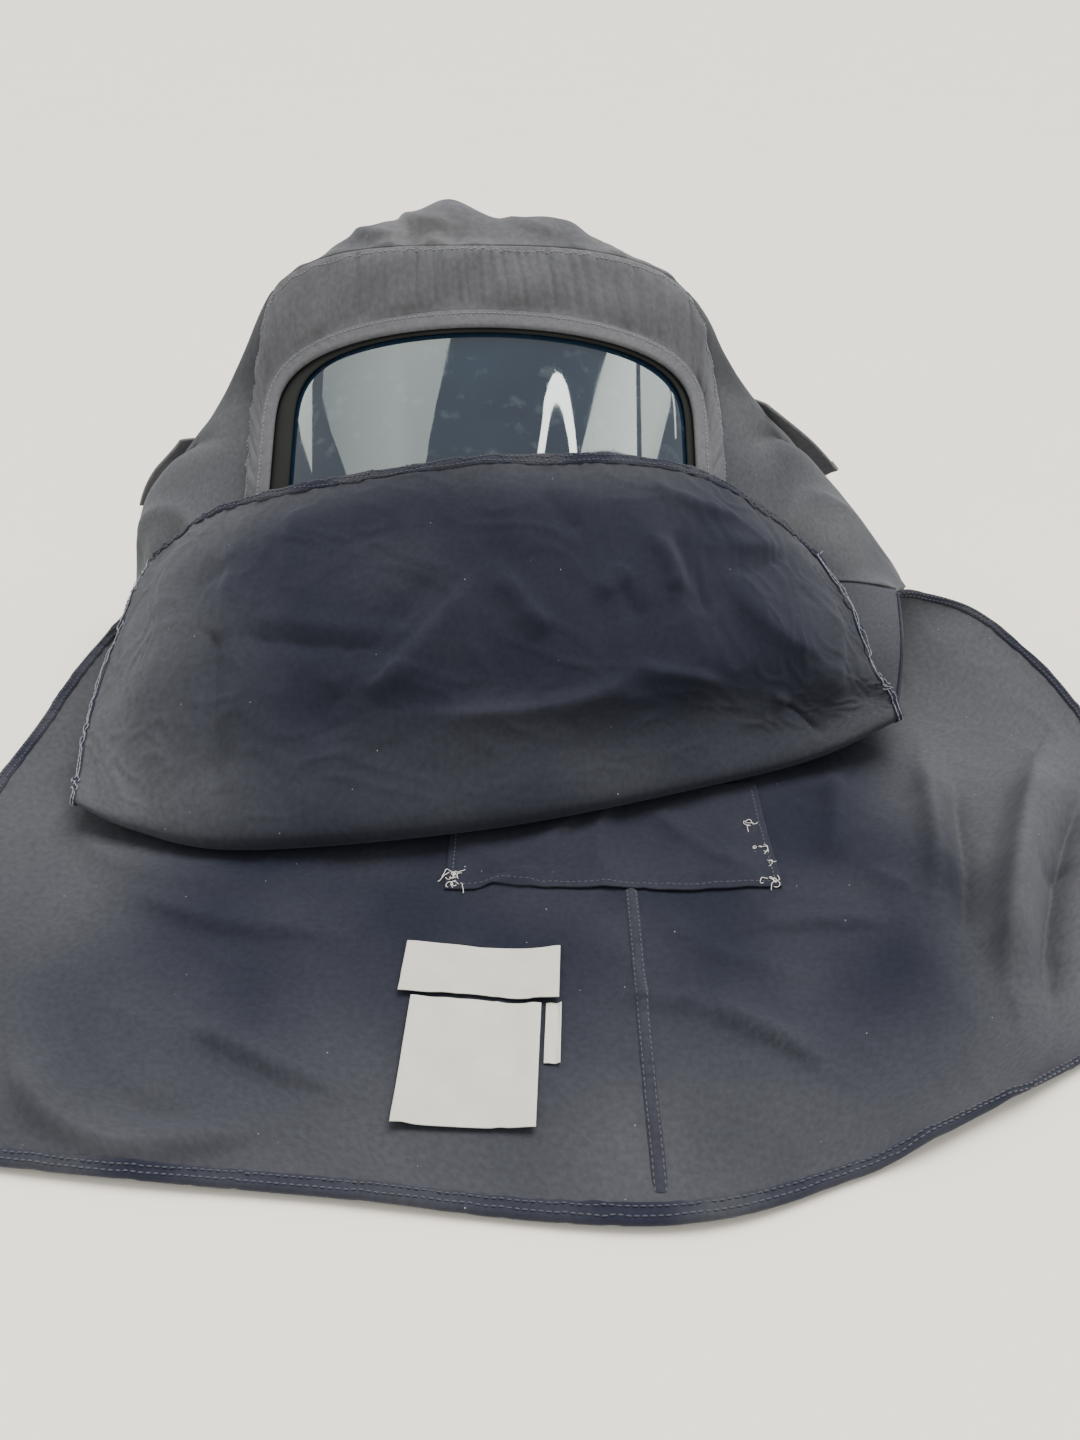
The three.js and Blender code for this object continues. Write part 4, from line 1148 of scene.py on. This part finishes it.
# %% Front bib
FRONT_BIB_FOLDS = [
    ([(0.300, 0.742), (0.375, 0.722), (0.435, 0.712)], -3.5, 5, 0.0),
    ([(0.310, 0.764), (0.378, 0.744), (0.435, 0.733)], 3.5, 7, 0.0),
    ([(0.498, 0.795), (0.455, 0.714), (0.420, 0.638)], 9, 7, 0.5),
    ([(0.468, 0.805), (0.448, 0.766), (0.435, 0.735)], -4, 6, 0.0),
    ([(0.512, 0.800), (0.532, 0.758), (0.548, 0.725)], 7, 5, -0.3),
    ([(0.553, 0.920), (0.562, 0.875), (0.580, 0.845)], -3, 5, 0.0),
    ([(0.645, 0.941), (0.690, 0.905), (0.792, 0.908)], 5, 6, 0.3),
    ([(0.448, 0.627), (0.548, 0.629), (0.608, 0.680)], 7, 8, -0.5),
    ([(0.608, 0.680), (0.640, 0.670), (0.690, 0.651)], 6, 7, -0.4),
    ([(0.633, 0.850), (0.650, 0.805), (0.650, 0.773)], 8, 6, 0.4),
    ([(0.662, 0.865), (0.675, 0.801), (0.692, 0.750)], -5, 8, 0.0),
    ([(0.602, 0.787), (0.612, 0.765), (0.620, 0.743)], -4, 5, 0.0),
    ([(0.612, 0.805), (0.602, 0.788), (0.583, 0.770)], 5, 5, 0.0),
    ([(0.730, 0.816), (0.790, 0.830), (0.883, 0.898)], -4, 6, 0.3),
    ([(0.730, 0.850), (0.790, 0.862), (0.860, 0.900)], 5, 8, 0.3),
    ([(0.770, 0.600), (0.812, 0.568), (0.840, 0.482)], -7, 7, 0.3),
    ([(0.755, 0.615), (0.800, 0.592), (0.845, 0.520)], 5, 6, 0.0),
    ([(0.262, 0.800), (0.290, 0.650), (0.305, 0.531)], -7, 11, 0.2),
    ([(0.202, 0.824), (0.250, 0.818), (0.292, 0.847)], -3, 9, 0.0),
    ([(0.268, 0.890), (0.283, 0.781), (0.280, 0.733)], 6, 12, 0.0),
    ([(0.520, 0.948), (0.522, 0.876), (0.530, 0.808)], 4, 9, 0.0),
    ([(0.450, 0.700), (0.435, 0.671), (0.413, 0.667)], 4, 6, 0.0),
    ([(0.410, 0.663), (0.393, 0.633), (0.398, 0.596)], -5, 7, 0.0),
    ([(0.355, 0.930), (0.345, 0.860), (0.360, 0.780)], 4, 9, 0.2),
    ([(0.720, 0.800), (0.780, 0.740), (0.880, 0.720)], 8, 14, 0.4),
    ([(0.860, 0.620), (0.900, 0.720), (0.930, 0.840)], 6, 12, 0.3),
    ([(0.100, 0.900), (0.170, 0.760), (0.160, 0.620)], 3, 22, 0.3),
]


def front_bib_base(s, t):
    return loft(FRONT_BIB_SECTIONS, s, t)


FRONT_BIB_SIZE = surface_size(front_bib_base)


def front_bib_height(s, t):
    u, v = s * FRONT_BIB_SIZE[0], t * FRONT_BIB_SIZE[1]
    flap = smooth((t - TURN) / (OVER - TURN))
    soft = waves(u, v, 65 * MM, 51) * 1.2 * MM
    fine = waves(u, v, 24 * MM, 55) * 0.2 * MM + rumple(u, v, 36 * MM, 58) ** 3 * 1.3 * MM
    return (fold_height(FRONT_BIB_FOLDS, s, t, FRONT_BIB_SIZE) + soft + fine) * flap


front_bib_at = raised(front_bib_base, front_bib_height)
bib_across = shares(228, 0.002, 0.004, 0.996)
bib_along = np.concatenate([np.linspace(0, TURN, 26)[:-1], TURN + (1 - TURN) * np.linspace(0, 0.994, 140),
                            [0.9975, 0.999, 1.0]])
bib_points = on_grid(front_bib_at, bib_across, bib_along)
# The bib is set paler near its free end, from the chin seam over its roll, and at its left and right sides;
# the pale sides are partly fading and partly painted haze and sheen.
bib_worn = 0.5 * near_edge(1 - bib_along, 0.14)[:, None] + 1.1 * near_edge(bib_across, 0.4)[None]
bib_worn = bib_worn + 0.45 * near_edge(1 - bib_across, 0.25)[None]
bib_worn = bib_worn + 0.25 * near_edge(bib_along - 0.5, 0.2)[:, None]
bib_worn = np.clip(bib_worn + 0.06 * waves(bib_points[..., 0], bib_points[..., 1], 90 * MM, 57), 0, 1)
front_bib = dress("front_bib", "cloth", bib_points, "cloth", INNER, worn=bib_worn)
front_hem = hem("front_bib_hem", front_bib_at, FRONT_BIB_SIZE, 0.02, seed=61, pucker=0.22 * MM, crowded=0.7)
SIDE_STEPS = 170
END_STEPS = 300
STITCH_INSETS = (3.0 * MM, 9.0 * MM)
rows = [on_border(front_bib_at, FRONT_BIB_SIZE, TURN, inset, 2.5 * MM, (SIDE_STEPS, END_STEPS))
        for inset in STITCH_INSETS]
side_rows = [part for row in rows for part in (row[:SIDE_STEPS], row[-SIDE_STEPS:])]
stitched("front_bib_stitches", side_rows, length=3.9 * MM)
stitched("front_bib_end_stitches", [row[SIDE_STEPS:-SIDE_STEPS] for row in rows], DARK_STITCHING)
print("front bib measures", [round(v, 3) for v in FRONT_BIB_SIZE], "faces", len(front_bib.data.polygons))

# %% [markdown]
# ## Back bib
# The back bib lies on the table, inside up, with long folds at the right and at the lower left. Its folds
# have their places in millimetres on the table, and so have the patch and the labels that follow them. Cloth
# can't go below the table: a valley only shows where the cloth around it stands off, and the height is
# clamped just above the table everywhere else.

# %% Back bib
MILLIMETRES = (MM, MM)
BACK_BIB_START = 0.01
BACK_BIB_FOLDS = [
    ([(314, -23), (262, -124), (235, -205)], 25, 12, 0.5),
    ([(334, -50), (280, -140), (254, -215)], -20, 9, 0.0),
    ([(272, -129), (287, -122), (303, -114)], -6, 5, 0.0),
    ([(247, -2), (231, -80), (219, -134)], 15, 10, 0.4),
    ([(259, -30), (241, -110), (225, -168)], -12, 8, 0.0),
    ([(190, -10), (178, -66), (168, -105)], 10, 10, -0.3),
    ([(188, -108), (196, -119), (206, -128)], 5, 6, 0.2),
    ([(74, -210), (105, -226), (134, -250)], 8, 7, 0.5),
    ([(41, -200), (60, -206), (82, -206)], 5, 7, 0.3),
    ([(105, -155), (150, -150), (192, -152)], 6, 8, 0.5),
    ([(-266, -232), (-205, -288), (-124, -276)], 13, 11, 0.5),
    ([(-250, -210), (-205, -262), (-160, -268)], -5, 10, 0.0),
    ([(-185, -218), (-140, -243), (-95, -260)], 8, 9, 0.5),
    ([(-5, -111), (-22, -118), (-41, -128)], 6, 7, 0.3),
    ([(-300, -60), (-240, -110), (-170, -120)], 8, 16, 0.4),
    ([(-244, -126), (-175, -153), (-110, -160)], 7, 11, 0.5),
    ([(150, -290), (200, -275), (260, -215)], 7, 12, 0.4),
    ([(60, -140), (90, -172), (140, -188)], 4, 9, 0.3),
]
HEM_LIFT = 2.2 * MM
OFF_TABLE = 0.2 * MM


def back_bib_base(s, t):
    return loft(BACK_BIB_SECTIONS, s, t)


BACK_BIB_SIZE = surface_size(back_bib_base)


def floor_height(x, y):
    """Height of the cloth's middle over the table, from its folds and rumples."""
    folds = fold_height(BACK_BIB_FOLDS, x / MM, y / MM, MILLIMETRES)
    soft = smooth(0.5 + 0.5 * waves(x, y, 95 * MM, 71)) * 3 * MM
    fine = smooth((rumple(x, y, 50 * MM, 75) - 0.6) / 0.4) * 0.7 * MM
    return HALF + 0.3 * MM + folds + soft + fine


def back_bib_at(s, t):
    point = back_bib_base(s, t)
    from_edge = np.minimum(np.minimum(s, 1 - s) * BACK_BIB_SIZE[0], t * BACK_BIB_SIZE[1])
    lift = HEM_LIFT * near_edge(from_edge, 30 * MM)
    seam = smooth((1 - t) / 0.03)
    rise = floor_height(point[..., 0], point[..., 1]) - HALF
    over_floor = np.maximum(0, point[..., 2]) + rise * seam + lift
    point[..., 2] = HALF + np.maximum(OFF_TABLE, over_floor)
    return point


def back_bib_turned(s, t):
    return back_bib_at(1 - s, 1 - t)


back_across = shares(236, 0.002)
back_along = shares(180, 0.003)
back_points = on_grid(back_bib_at, back_across, back_along)
back_x, back_y = back_points[..., 0], back_points[..., 1]
# The bib is paler towards its front hem, and paler again at its far left and far right away from the hem, most
# of all at the right; those far sides are partly fading and partly painted haze.
back_worn = 0.08 + 0.52 * smooth((-0.16 - back_y) / 0.16)
back_worn = back_worn + 0.75 * smooth((np.abs(back_x) - 0.17) / 0.14) * smooth(back_along / 0.5)[:, None]
back_worn = back_worn + 0.55 * smooth((back_x - 0.19) / 0.1)
back_worn = np.clip(back_worn + 0.08 * waves(back_x, back_y, 100 * MM, 77), 0, 1)
back_bib = dress("back_bib", "cloth", back_points, "cloth", INNER, worn=back_worn)
back_hem = hem("back_bib_hem", back_bib_turned, BACK_BIB_SIZE, BACK_BIB_START, seed=81, pucker=0.35 * MM)
rows = [on_border(back_bib_turned, BACK_BIB_SIZE, BACK_BIB_START, inset, 2.6 * MM)
        for inset in STITCH_INSETS]
stitched("back_bib_stitches", rows, DARK_STITCHING)
print("back bib measures", [round(v, 3) for v in BACK_BIB_SIZE], "faces", len(back_bib.data.polygons))

# %% [markdown]
# ## Back panel
# Under the head the cloth runs on over the table and turns up behind it, inside the crown. It is hidden from
# above, and the mesh is coarser.

# %% Back panel
FLOOR_IN = {"y": 0.02, "z": 0.012}
TAIL_IN = {"x": 0.985, "y": 0.011}
LINES = 7


def on_floor(section):
    """The line on the floor under a section of the hood, a little inside it."""
    share = np.linspace(0, 1, LINES)
    inside = (share > 0) & (share < 1)
    ends = {key: section[key][0] + (section[key][-1] - section[key][0]) * share for key in ("x", "y")}
    return {
        "x": list(ends["x"]),
        "y": list(ends["y"] - FLOOR_IN["y"] * inside),
        "z": list(np.where(inside, 0, section["z"]) - FLOOR_IN["z"]),
    }


def turned_up(section):
    """The line inside the hood's tail, where the panel's end stands up."""
    return {
        "x": [x * TAIL_IN["x"] for x in section["x"]],
        "y": [y - TAIL_IN["y"] for y in section["y"]],
        "z": [z - (0 if 0 < i < LINES - 1 else FLOOR_IN["z"]) for i, z in enumerate(section["z"])],
    }


PANEL_SECTIONS = [BACK_BIB_SECTIONS[-1], *map(on_floor, HOOD_SECTIONS[1:-1]), turned_up(HOOD_SECTIONS[-1])]


def back_panel_at(s, t):
    point = loft(PANEL_SECTIONS, s, t)
    u, v = point[..., 0], point[..., 1]
    soft = smooth((rumple(u, v, 60 * MM, 91) - 0.5) / 0.5) * 2 * MM
    soft = soft * smooth(t / 0.1) * smooth((1 - t) / 0.15)
    inner = smooth(np.minimum(s, 1 - s) / 0.15)
    point[..., 2] = HALF + np.maximum(0, point[..., 2]) + soft * inner
    return point


panel_points = on_grid(back_panel_at, shares(70, 0.004), shares(70, 0.004))
back_panel = dress("back_panel", "cloth", panel_points, "cloth", PAINTED_SHADE_SIDES, worn=0.3)
print("back panel has", len(back_panel.data.polygons), "faces")

# %% [markdown]
# ## Seam, patch and labels on the back bib
# These flat pieces lie on the rumpled cloth and follow it. The seam is puckered between its two rows of
# stitches, the patch has folds of its own, and the labels are bare tape whose free edges curl up a little.

# %% Sewn-on pieces
PATCH = {"width": 194, "length": 96, "x": 0.106, "y": -0.234, "turn": 0}
UPPER_LABEL = {"width": 83, "length": 36, "x": -0.103, "y": -0.569, "turn": -2}
LOWER_LABEL = {"width": 67, "length": 74, "right": -3, "turn": -2}
UNDER_LABEL = {"width": 8, "length": 40, "right": 37.5, "turn": -2}
LABEL_GAP = 2
SEAM_WIDTH = 7
SEAM_X = 0.135
TAPE_CLOTH = 0.7 * MM
PATCH_CLOTH = 1.3 * MM


def sewn_on(piece, x, y, above):
    """A surface that lies on the back bib, with its middle at x and y in millimetres."""
    turn = math.radians(piece["turn"])

    def place(s, t):
        u = (s - 0.5) * piece["width"]
        v = (t - 0.5) * piece["length"]
        px = (x + u * math.cos(turn) - v * math.sin(turn)) * MM
        py = (y + u * math.sin(turn) + v * math.cos(turn)) * MM
        return np.stack([px, py, floor_height(px, py) + HALF + above(s, t)], -1)
    return place


def flat_grid(surface, counts, rims=(0.01, 0.01)):
    return on_grid(surface, shares(counts[0], rims[0]), shares(counts[1], rims[1]))


def patch_rise(s, t):
    folds = [
        ([(0.50, 0.0), (0.47, 0.4), (0.52, 0.9)], 5, 8, 0.3),
        ([(0.08, 0.12), (0.25, 0.3), (0.40, 0.75)], 4, 9, 0.3),
        ([(0.95, 0.10), (0.78, 0.35), (0.62, 0.8)], 5, 9, -0.3),
        ([(0.62, 0.05), (0.72, 0.12), (0.88, 0.10)], 3, 7, 0.0),
    ]
    size = (PATCH["width"] * MM, PATCH["length"] * MM)
    return PATCH_CLOTH / 2 + 0.8 * MM + fold_height(folds, s, t, size)


patch_x = PATCH["x"] * HALF_SIZES[0] / MM
patch_y = PATCH["y"] * HALF_SIZES[1] / MM
patch_at = sewn_on(PATCH, patch_x, patch_y, patch_rise)
patch = dress("cloth_patch", "cloth", flat_grid(patch_at, (110, 56)), "trim", INNER, thickness=PATCH_CLOTH,
              worn=0.15)


def curl(left, right, low):
    """Height of a label over the bib, with its left, right and lower edges curled up by millimetres."""
    def above(s, t):
        edges = left * bell(s / 0.16) + right * bell((1 - s) / 0.16) + low * bell(t / 0.18)
        return TAPE_CLOTH / 2 + 0.4 * MM + edges * MM + 0.3 * MM * np.sin(5 * s + 3 * t) ** 2
    return above


upper_x = UPPER_LABEL["x"] * HALF_SIZES[0] / MM
upper_y = UPPER_LABEL["y"] * HALF_SIZES[1] / MM


def hanging(label):
    """The middle of a label that hangs below the upper one, in millimetres."""
    x = upper_x + label["right"]
    y = upper_y - (UPPER_LABEL["length"] + label["length"]) / 2 - LABEL_GAP
    return x, y


label_plans = [
    ("label_upper", UPPER_LABEL, (upper_x, upper_y), curl(2.0, 2.5, 1.5)),
    ("label_lower", LOWER_LABEL, hanging(LOWER_LABEL), curl(2.5, 1.5, 2.0)),
    ("label_under", UNDER_LABEL, hanging(UNDER_LABEL), curl(0.0, 1.0, 0.5)),
]
for name, plan, (x, y), above in label_plans:
    points = flat_grid(sewn_on(plan, x, y, above), (28, 24))
    dress(name, "tape", points, "label", TAPE, thickness=TAPE_CLOTH, worn=0.3)

seam_low = BACK_BIB_SECTIONS[0]["y"][3] * HALF_SIZES[1] / MM + 13
seam_high = patch_y - PATCH["length"] / 2 - 0.4
seam_x = SEAM_X * HALF_SIZES[0] / MM
seam_plan = {"width": SEAM_WIDTH, "length": seam_high - seam_low, "turn": 0}


def seam_rise(s, t):
    distance = t * seam_plan["length"] * MM
    puckers = np.abs(ripple(distance, 14 * MM, 95)) * 0.9 * MM
    return (puckers + 1.0 * MM) * np.sin(math.pi * s) - 0.2 * MM


seam_at = sewn_on(seam_plan, seam_x, (seam_low + seam_high) / 2, seam_rise)
seam_points = flat_grid(seam_at, (8, 150), (0.08, 0.004))
dress("centre_seam", "cloth", seam_points, "trim", INNER, thickness=1.0 * MM, worn=0.3)
print("patch, seam and", len(label_plans), "labels lie on the bib")

# %% [markdown]
# The seam has a row of stitches at each side, and the patch is sewn down along its lower edge and its two
# sides. The rows are straight lines over these pieces' own surfaces, just above the cloth.

# %% Stitches on the back bib
def row_on(surface, first, last, count, lift):
    """Points evenly from one pair of shares to another on a surface, and a little above it."""
    point = surface(np.linspace(first[0], last[0], count), np.linspace(first[1], last[1], count))
    point[..., 2] += lift
    return point


seam_rows = [row_on(seam_at, (s, 0.01), (s, 0.99), 200, 0.6 * MM) for s in (0.15, 0.85)]
stitched("centre_seam_stitches", seam_rows, DARK_STITCHING)
patch_lines = [
    ((0.02, 0.04), (0.98, 0.04), 160),
    ((0.02, 0.04), (0.02, 0.9), 90),
    ((0.98, 0.04), (0.98, 0.9), 90),
]
patch_rows = [row_on(patch_at, *line, PATCH_CLOTH / 2) for line in patch_lines]
stitched("patch_stitches", patch_rows, DARK_STITCHING)

# %% [markdown]
# Where the patch has torn loose, white sewing thread hangs out of its seam in short curls. Each curl is a
# random walk from a fixed seed that starts at the seam and keeps just above the cloth.

# %% Loose threads
CURL_STEPS = 16
STEPS_TO_REACH = 14
LOOSE = [
    {"s": 0.02, "t": 0.12, "count": 7, "reach": 9, "seed": 3},
    {"s": 0.03, "t": 0.03, "count": 5, "reach": 8, "seed": 4},
    {"s": 0.98, "t": 0.05, "count": 6, "reach": 8, "seed": 5},
    {"s": 0.97, "t": 0.35, "count": 5, "reach": 7, "seed": 6},
    {"s": 0.95, "t": 0.60, "count": 4, "reach": 7, "seed": 7},
    {"s": 0.99, "t": 0.22, "count": 3, "reach": 5, "seed": 8},
]


def curls(spot):
    """Curled lines that start near one spot of the patch. Their reach is in millimetres."""
    rng = np.random.default_rng(spot["seed"])
    start = patch_at(np.array([spot["s"]]), np.array([spot["t"]]))[0]
    lines = []
    for _ in range(spot["count"]):
        heading = rng.uniform(0, 2 * math.pi)
        turn = rng.normal(0, 0.35)
        step = spot["reach"] * MM / STEPS_TO_REACH
        points = [start + np.array([rng.normal(0, 2 * MM), rng.normal(0, 2 * MM), 0.8 * MM])]
        for k in range(CURL_STEPS):
            heading += turn + rng.normal(0, 0.25)
            rise = 0.25 * MM * math.sin(0.5 * k)
            points.append(points[-1] + np.array([step * math.cos(heading), step * math.sin(heading), rise]))
        lines.append(np.array(points))
    return lines


loose_lines = [line for spot in LOOSE for line in curls(spot)]
thread_sizes = {"Radius": 0.22 * MM, "Material": WHITE_THREAD}
bare_lines = line_object("patch_threads_line", loose_lines)
join_body(from_tree("patch_threads", bare_lines, THREADS, thread_sizes))
print("loose threads:", len(loose_lines))

# %% [markdown]
# ## Floor and light
# The floor is plain and pale. The light is a soft sky all round and one broad sun from above, a little from
# behind and from the right. The sun is hidden from reflections, or it would show as one more pane in the
# window.

# %% Floor and lights
def floor_material():
    material, tree = new_material("white_table_top")
    place = node(tree, "ShaderNodeTexCoord").outputs["Object"]
    cloud = node(tree, "ShaderNodeTexNoise", {"Vector": place, "Scale": per_metre(400), "Detail": 3.0})
    colour = node(tree, "ShaderNodeMix", {
        MIX_FACTOR: cloud.outputs[0], MIX_A: linear("#f1ede4"), MIX_B: linear("#f6f3ec"),
    }, data_type="RGBA").outputs[MIX_RESULT]
    finish_material(tree, {"Base Color": colour, "Roughness": 0.55})
    return material


def stage_face(name, corners, material):
    mesh = bpy.data.meshes.new(name)
    mesh.from_pydata([tuple(c) for c in corners], [], [tuple(range(len(corners)))])
    mesh.materials.append(material)
    face_object = bpy.data.objects.new(name, mesh)
    bpy.context.scene.collection.objects.link(face_object)
    return face_object


FLOOR = 40
stage_face("floor", [(-FLOOR, -FLOOR, 0), (FLOOR, -FLOOR, 0), (FLOOR, FLOOR, 0), (-FLOOR, FLOOR, 0)],
           floor_material())

world = bpy.data.worlds.new("soft_room")
bpy.context.scene.world = world
world.use_nodes = True
world.node_tree.nodes.clear()
sky = node(world.node_tree, "ShaderNodeBackground", {"Color": linear("#f1eee8"), "Strength": 1.25})
node(world.node_tree, "ShaderNodeOutputWorld", {"Surface": sky.outputs[0]})


def daylight(name, direction, spread, strength, colour):
    data = bpy.data.lights.new(name, "SUN")
    data.energy = strength
    data.angle = math.radians(spread)
    data.color = linear(colour)[:3]
    light = bpy.data.objects.new(name, data)
    light.rotation_euler = Vector(direction).to_track_quat("Z", "Y").to_euler()
    light.visible_glossy = False
    bpy.context.scene.collection.objects.link(light)


daylight("soft_daylight", (0.25, 0.3, 1.0), 38, 4.6, "#fff8ee")
print("floor", 2 * FLOOR, "m wide")

# %% [markdown]
# ## Reflections
# The window mirrors what is above the hood: bright panes of daylight with dark bars between them, and a lamp
# like a narrow arch. Cards that only shine into reflections stand in for them. Their corners are found by
# following the view through named pixels of the image to the window's face and on along the mirrored ray.
# Each corner has its own glow, so a pane is brighter at one end.

# %% Reflections in the window
CARD_AWAY = 1.6
REFLECTIONS = {
    "left_sliver": [(287, 368, 9), (297, 350, 9), (312, 341, 9), (312, 473, 8), (288, 403, 8)],
    "left_pane": [(325, 337, 5), (397, 327, 8), (397, 478, 8), (351, 488, 6), (331, 432, 5), (322, 397, 4)],
    "left_pane_edge": [(397, 327, 8), (453, 328, 8), (423, 470, 7), (397, 478, 8)],
    "right_pane": [(611, 341, 12), (636, 347, 14), (637, 460, 16), (580, 456, 13), (597, 388, 12)],
    "far_pane": [(640, 349, 11), (674, 369, 10), (675, 388, 9), (655, 468, 9), (642, 462, 11)],
    "right_streak": [(677, 370, 14), (680, 372, 14), (680, 438, 12), (677, 438, 12)],
}
LAMP_GLOW = 40
LAMP_OUTER = [(536, 462), (541, 430), (545, 402), (549, 385), (553, 376), (557, 373), (562, 376), (567, 387),
              (571, 404), (575, 430), (578, 462)]
LAMP_INNER = [(543, 462), (547, 436), (549, 424), (551, 414), (554, 408), (557, 406), (560, 408), (563, 414),
              (565, 424), (568, 438), (571, 462)]


def mirrored_place(pixel):
    """Where a ray through a pixel goes after the window has mirrored it."""
    right = (pixel[0] - IMAGE["width"] / 2) / IMAGE["focal"]
    up = (IMAGE["height"] / 2 - pixel[1]) / IMAGE["focal"]
    ray = camera.rotation_euler.to_matrix() @ Vector((right, up, -1)).normalized()
    slope = WINDOW["slope"]
    rise = Vector((0, math.cos(slope), math.sin(slope)))
    back = Vector((0, math.sin(slope), -math.cos(slope)))
    axis = Vector(WINDOW_CENTRE) + back * WINDOW["bend"]
    start = camera.location - axis
    flat_start = start - rise * start.dot(rise)
    flat_ray = ray - rise * ray.dot(rise)
    a, b = flat_ray.dot(flat_ray), flat_start.dot(flat_ray)
    c = flat_start.dot(flat_start) - (WINDOW["bend"] + lens_middle + LENS / 2) ** 2
    distance = (-b - math.sqrt(max(0, b * b - a * c))) / a
    normal = (flat_start + flat_ray * distance).normalized()
    bounced = ray - normal * 2 * ray.dot(normal)
    return camera.location + ray * distance + bounced * CARD_AWAY


def glow_material():
    material, tree = new_material("daylight_card")
    glow = node(tree, "ShaderNodeAttribute", attribute_name="glow").outputs["Fac"]
    light = node(tree, "ShaderNodeEmission", {"Color": linear("#e4ede4"), "Strength": glow})
    node(tree, "ShaderNodeOutputMaterial", {"Surface": light.outputs[0]})
    return material


GLOW = glow_material()


def reflected_card(name, corners):
    """A card that only reflections see. A corner is a pixel of the image and how brightly it glows there."""
    card = stage_face("reflected_" + name, [mirrored_place(corner) for corner in corners], GLOW)
    glow = card.data.attributes.new("glow", "FLOAT", "POINT")
    glow.data.foreach_set("value", [float(corner[2]) for corner in corners])
    card.visible_camera = False
    card.visible_diffuse = False
    card.visible_shadow = False
    card.visible_transmission = False


for name, corners in REFLECTIONS.items():
    reflected_card(name, corners)
for k in range(len(LAMP_OUTER) - 1):
    ring = [LAMP_OUTER[k], LAMP_OUTER[k + 1], LAMP_INNER[k + 1], LAMP_INNER[k]]
    reflected_card("lamp_" + str(k), [(*corner, LAMP_GLOW) for corner in ring])
print("cards:", len(REFLECTIONS) + len(LAMP_OUTER) - 1)
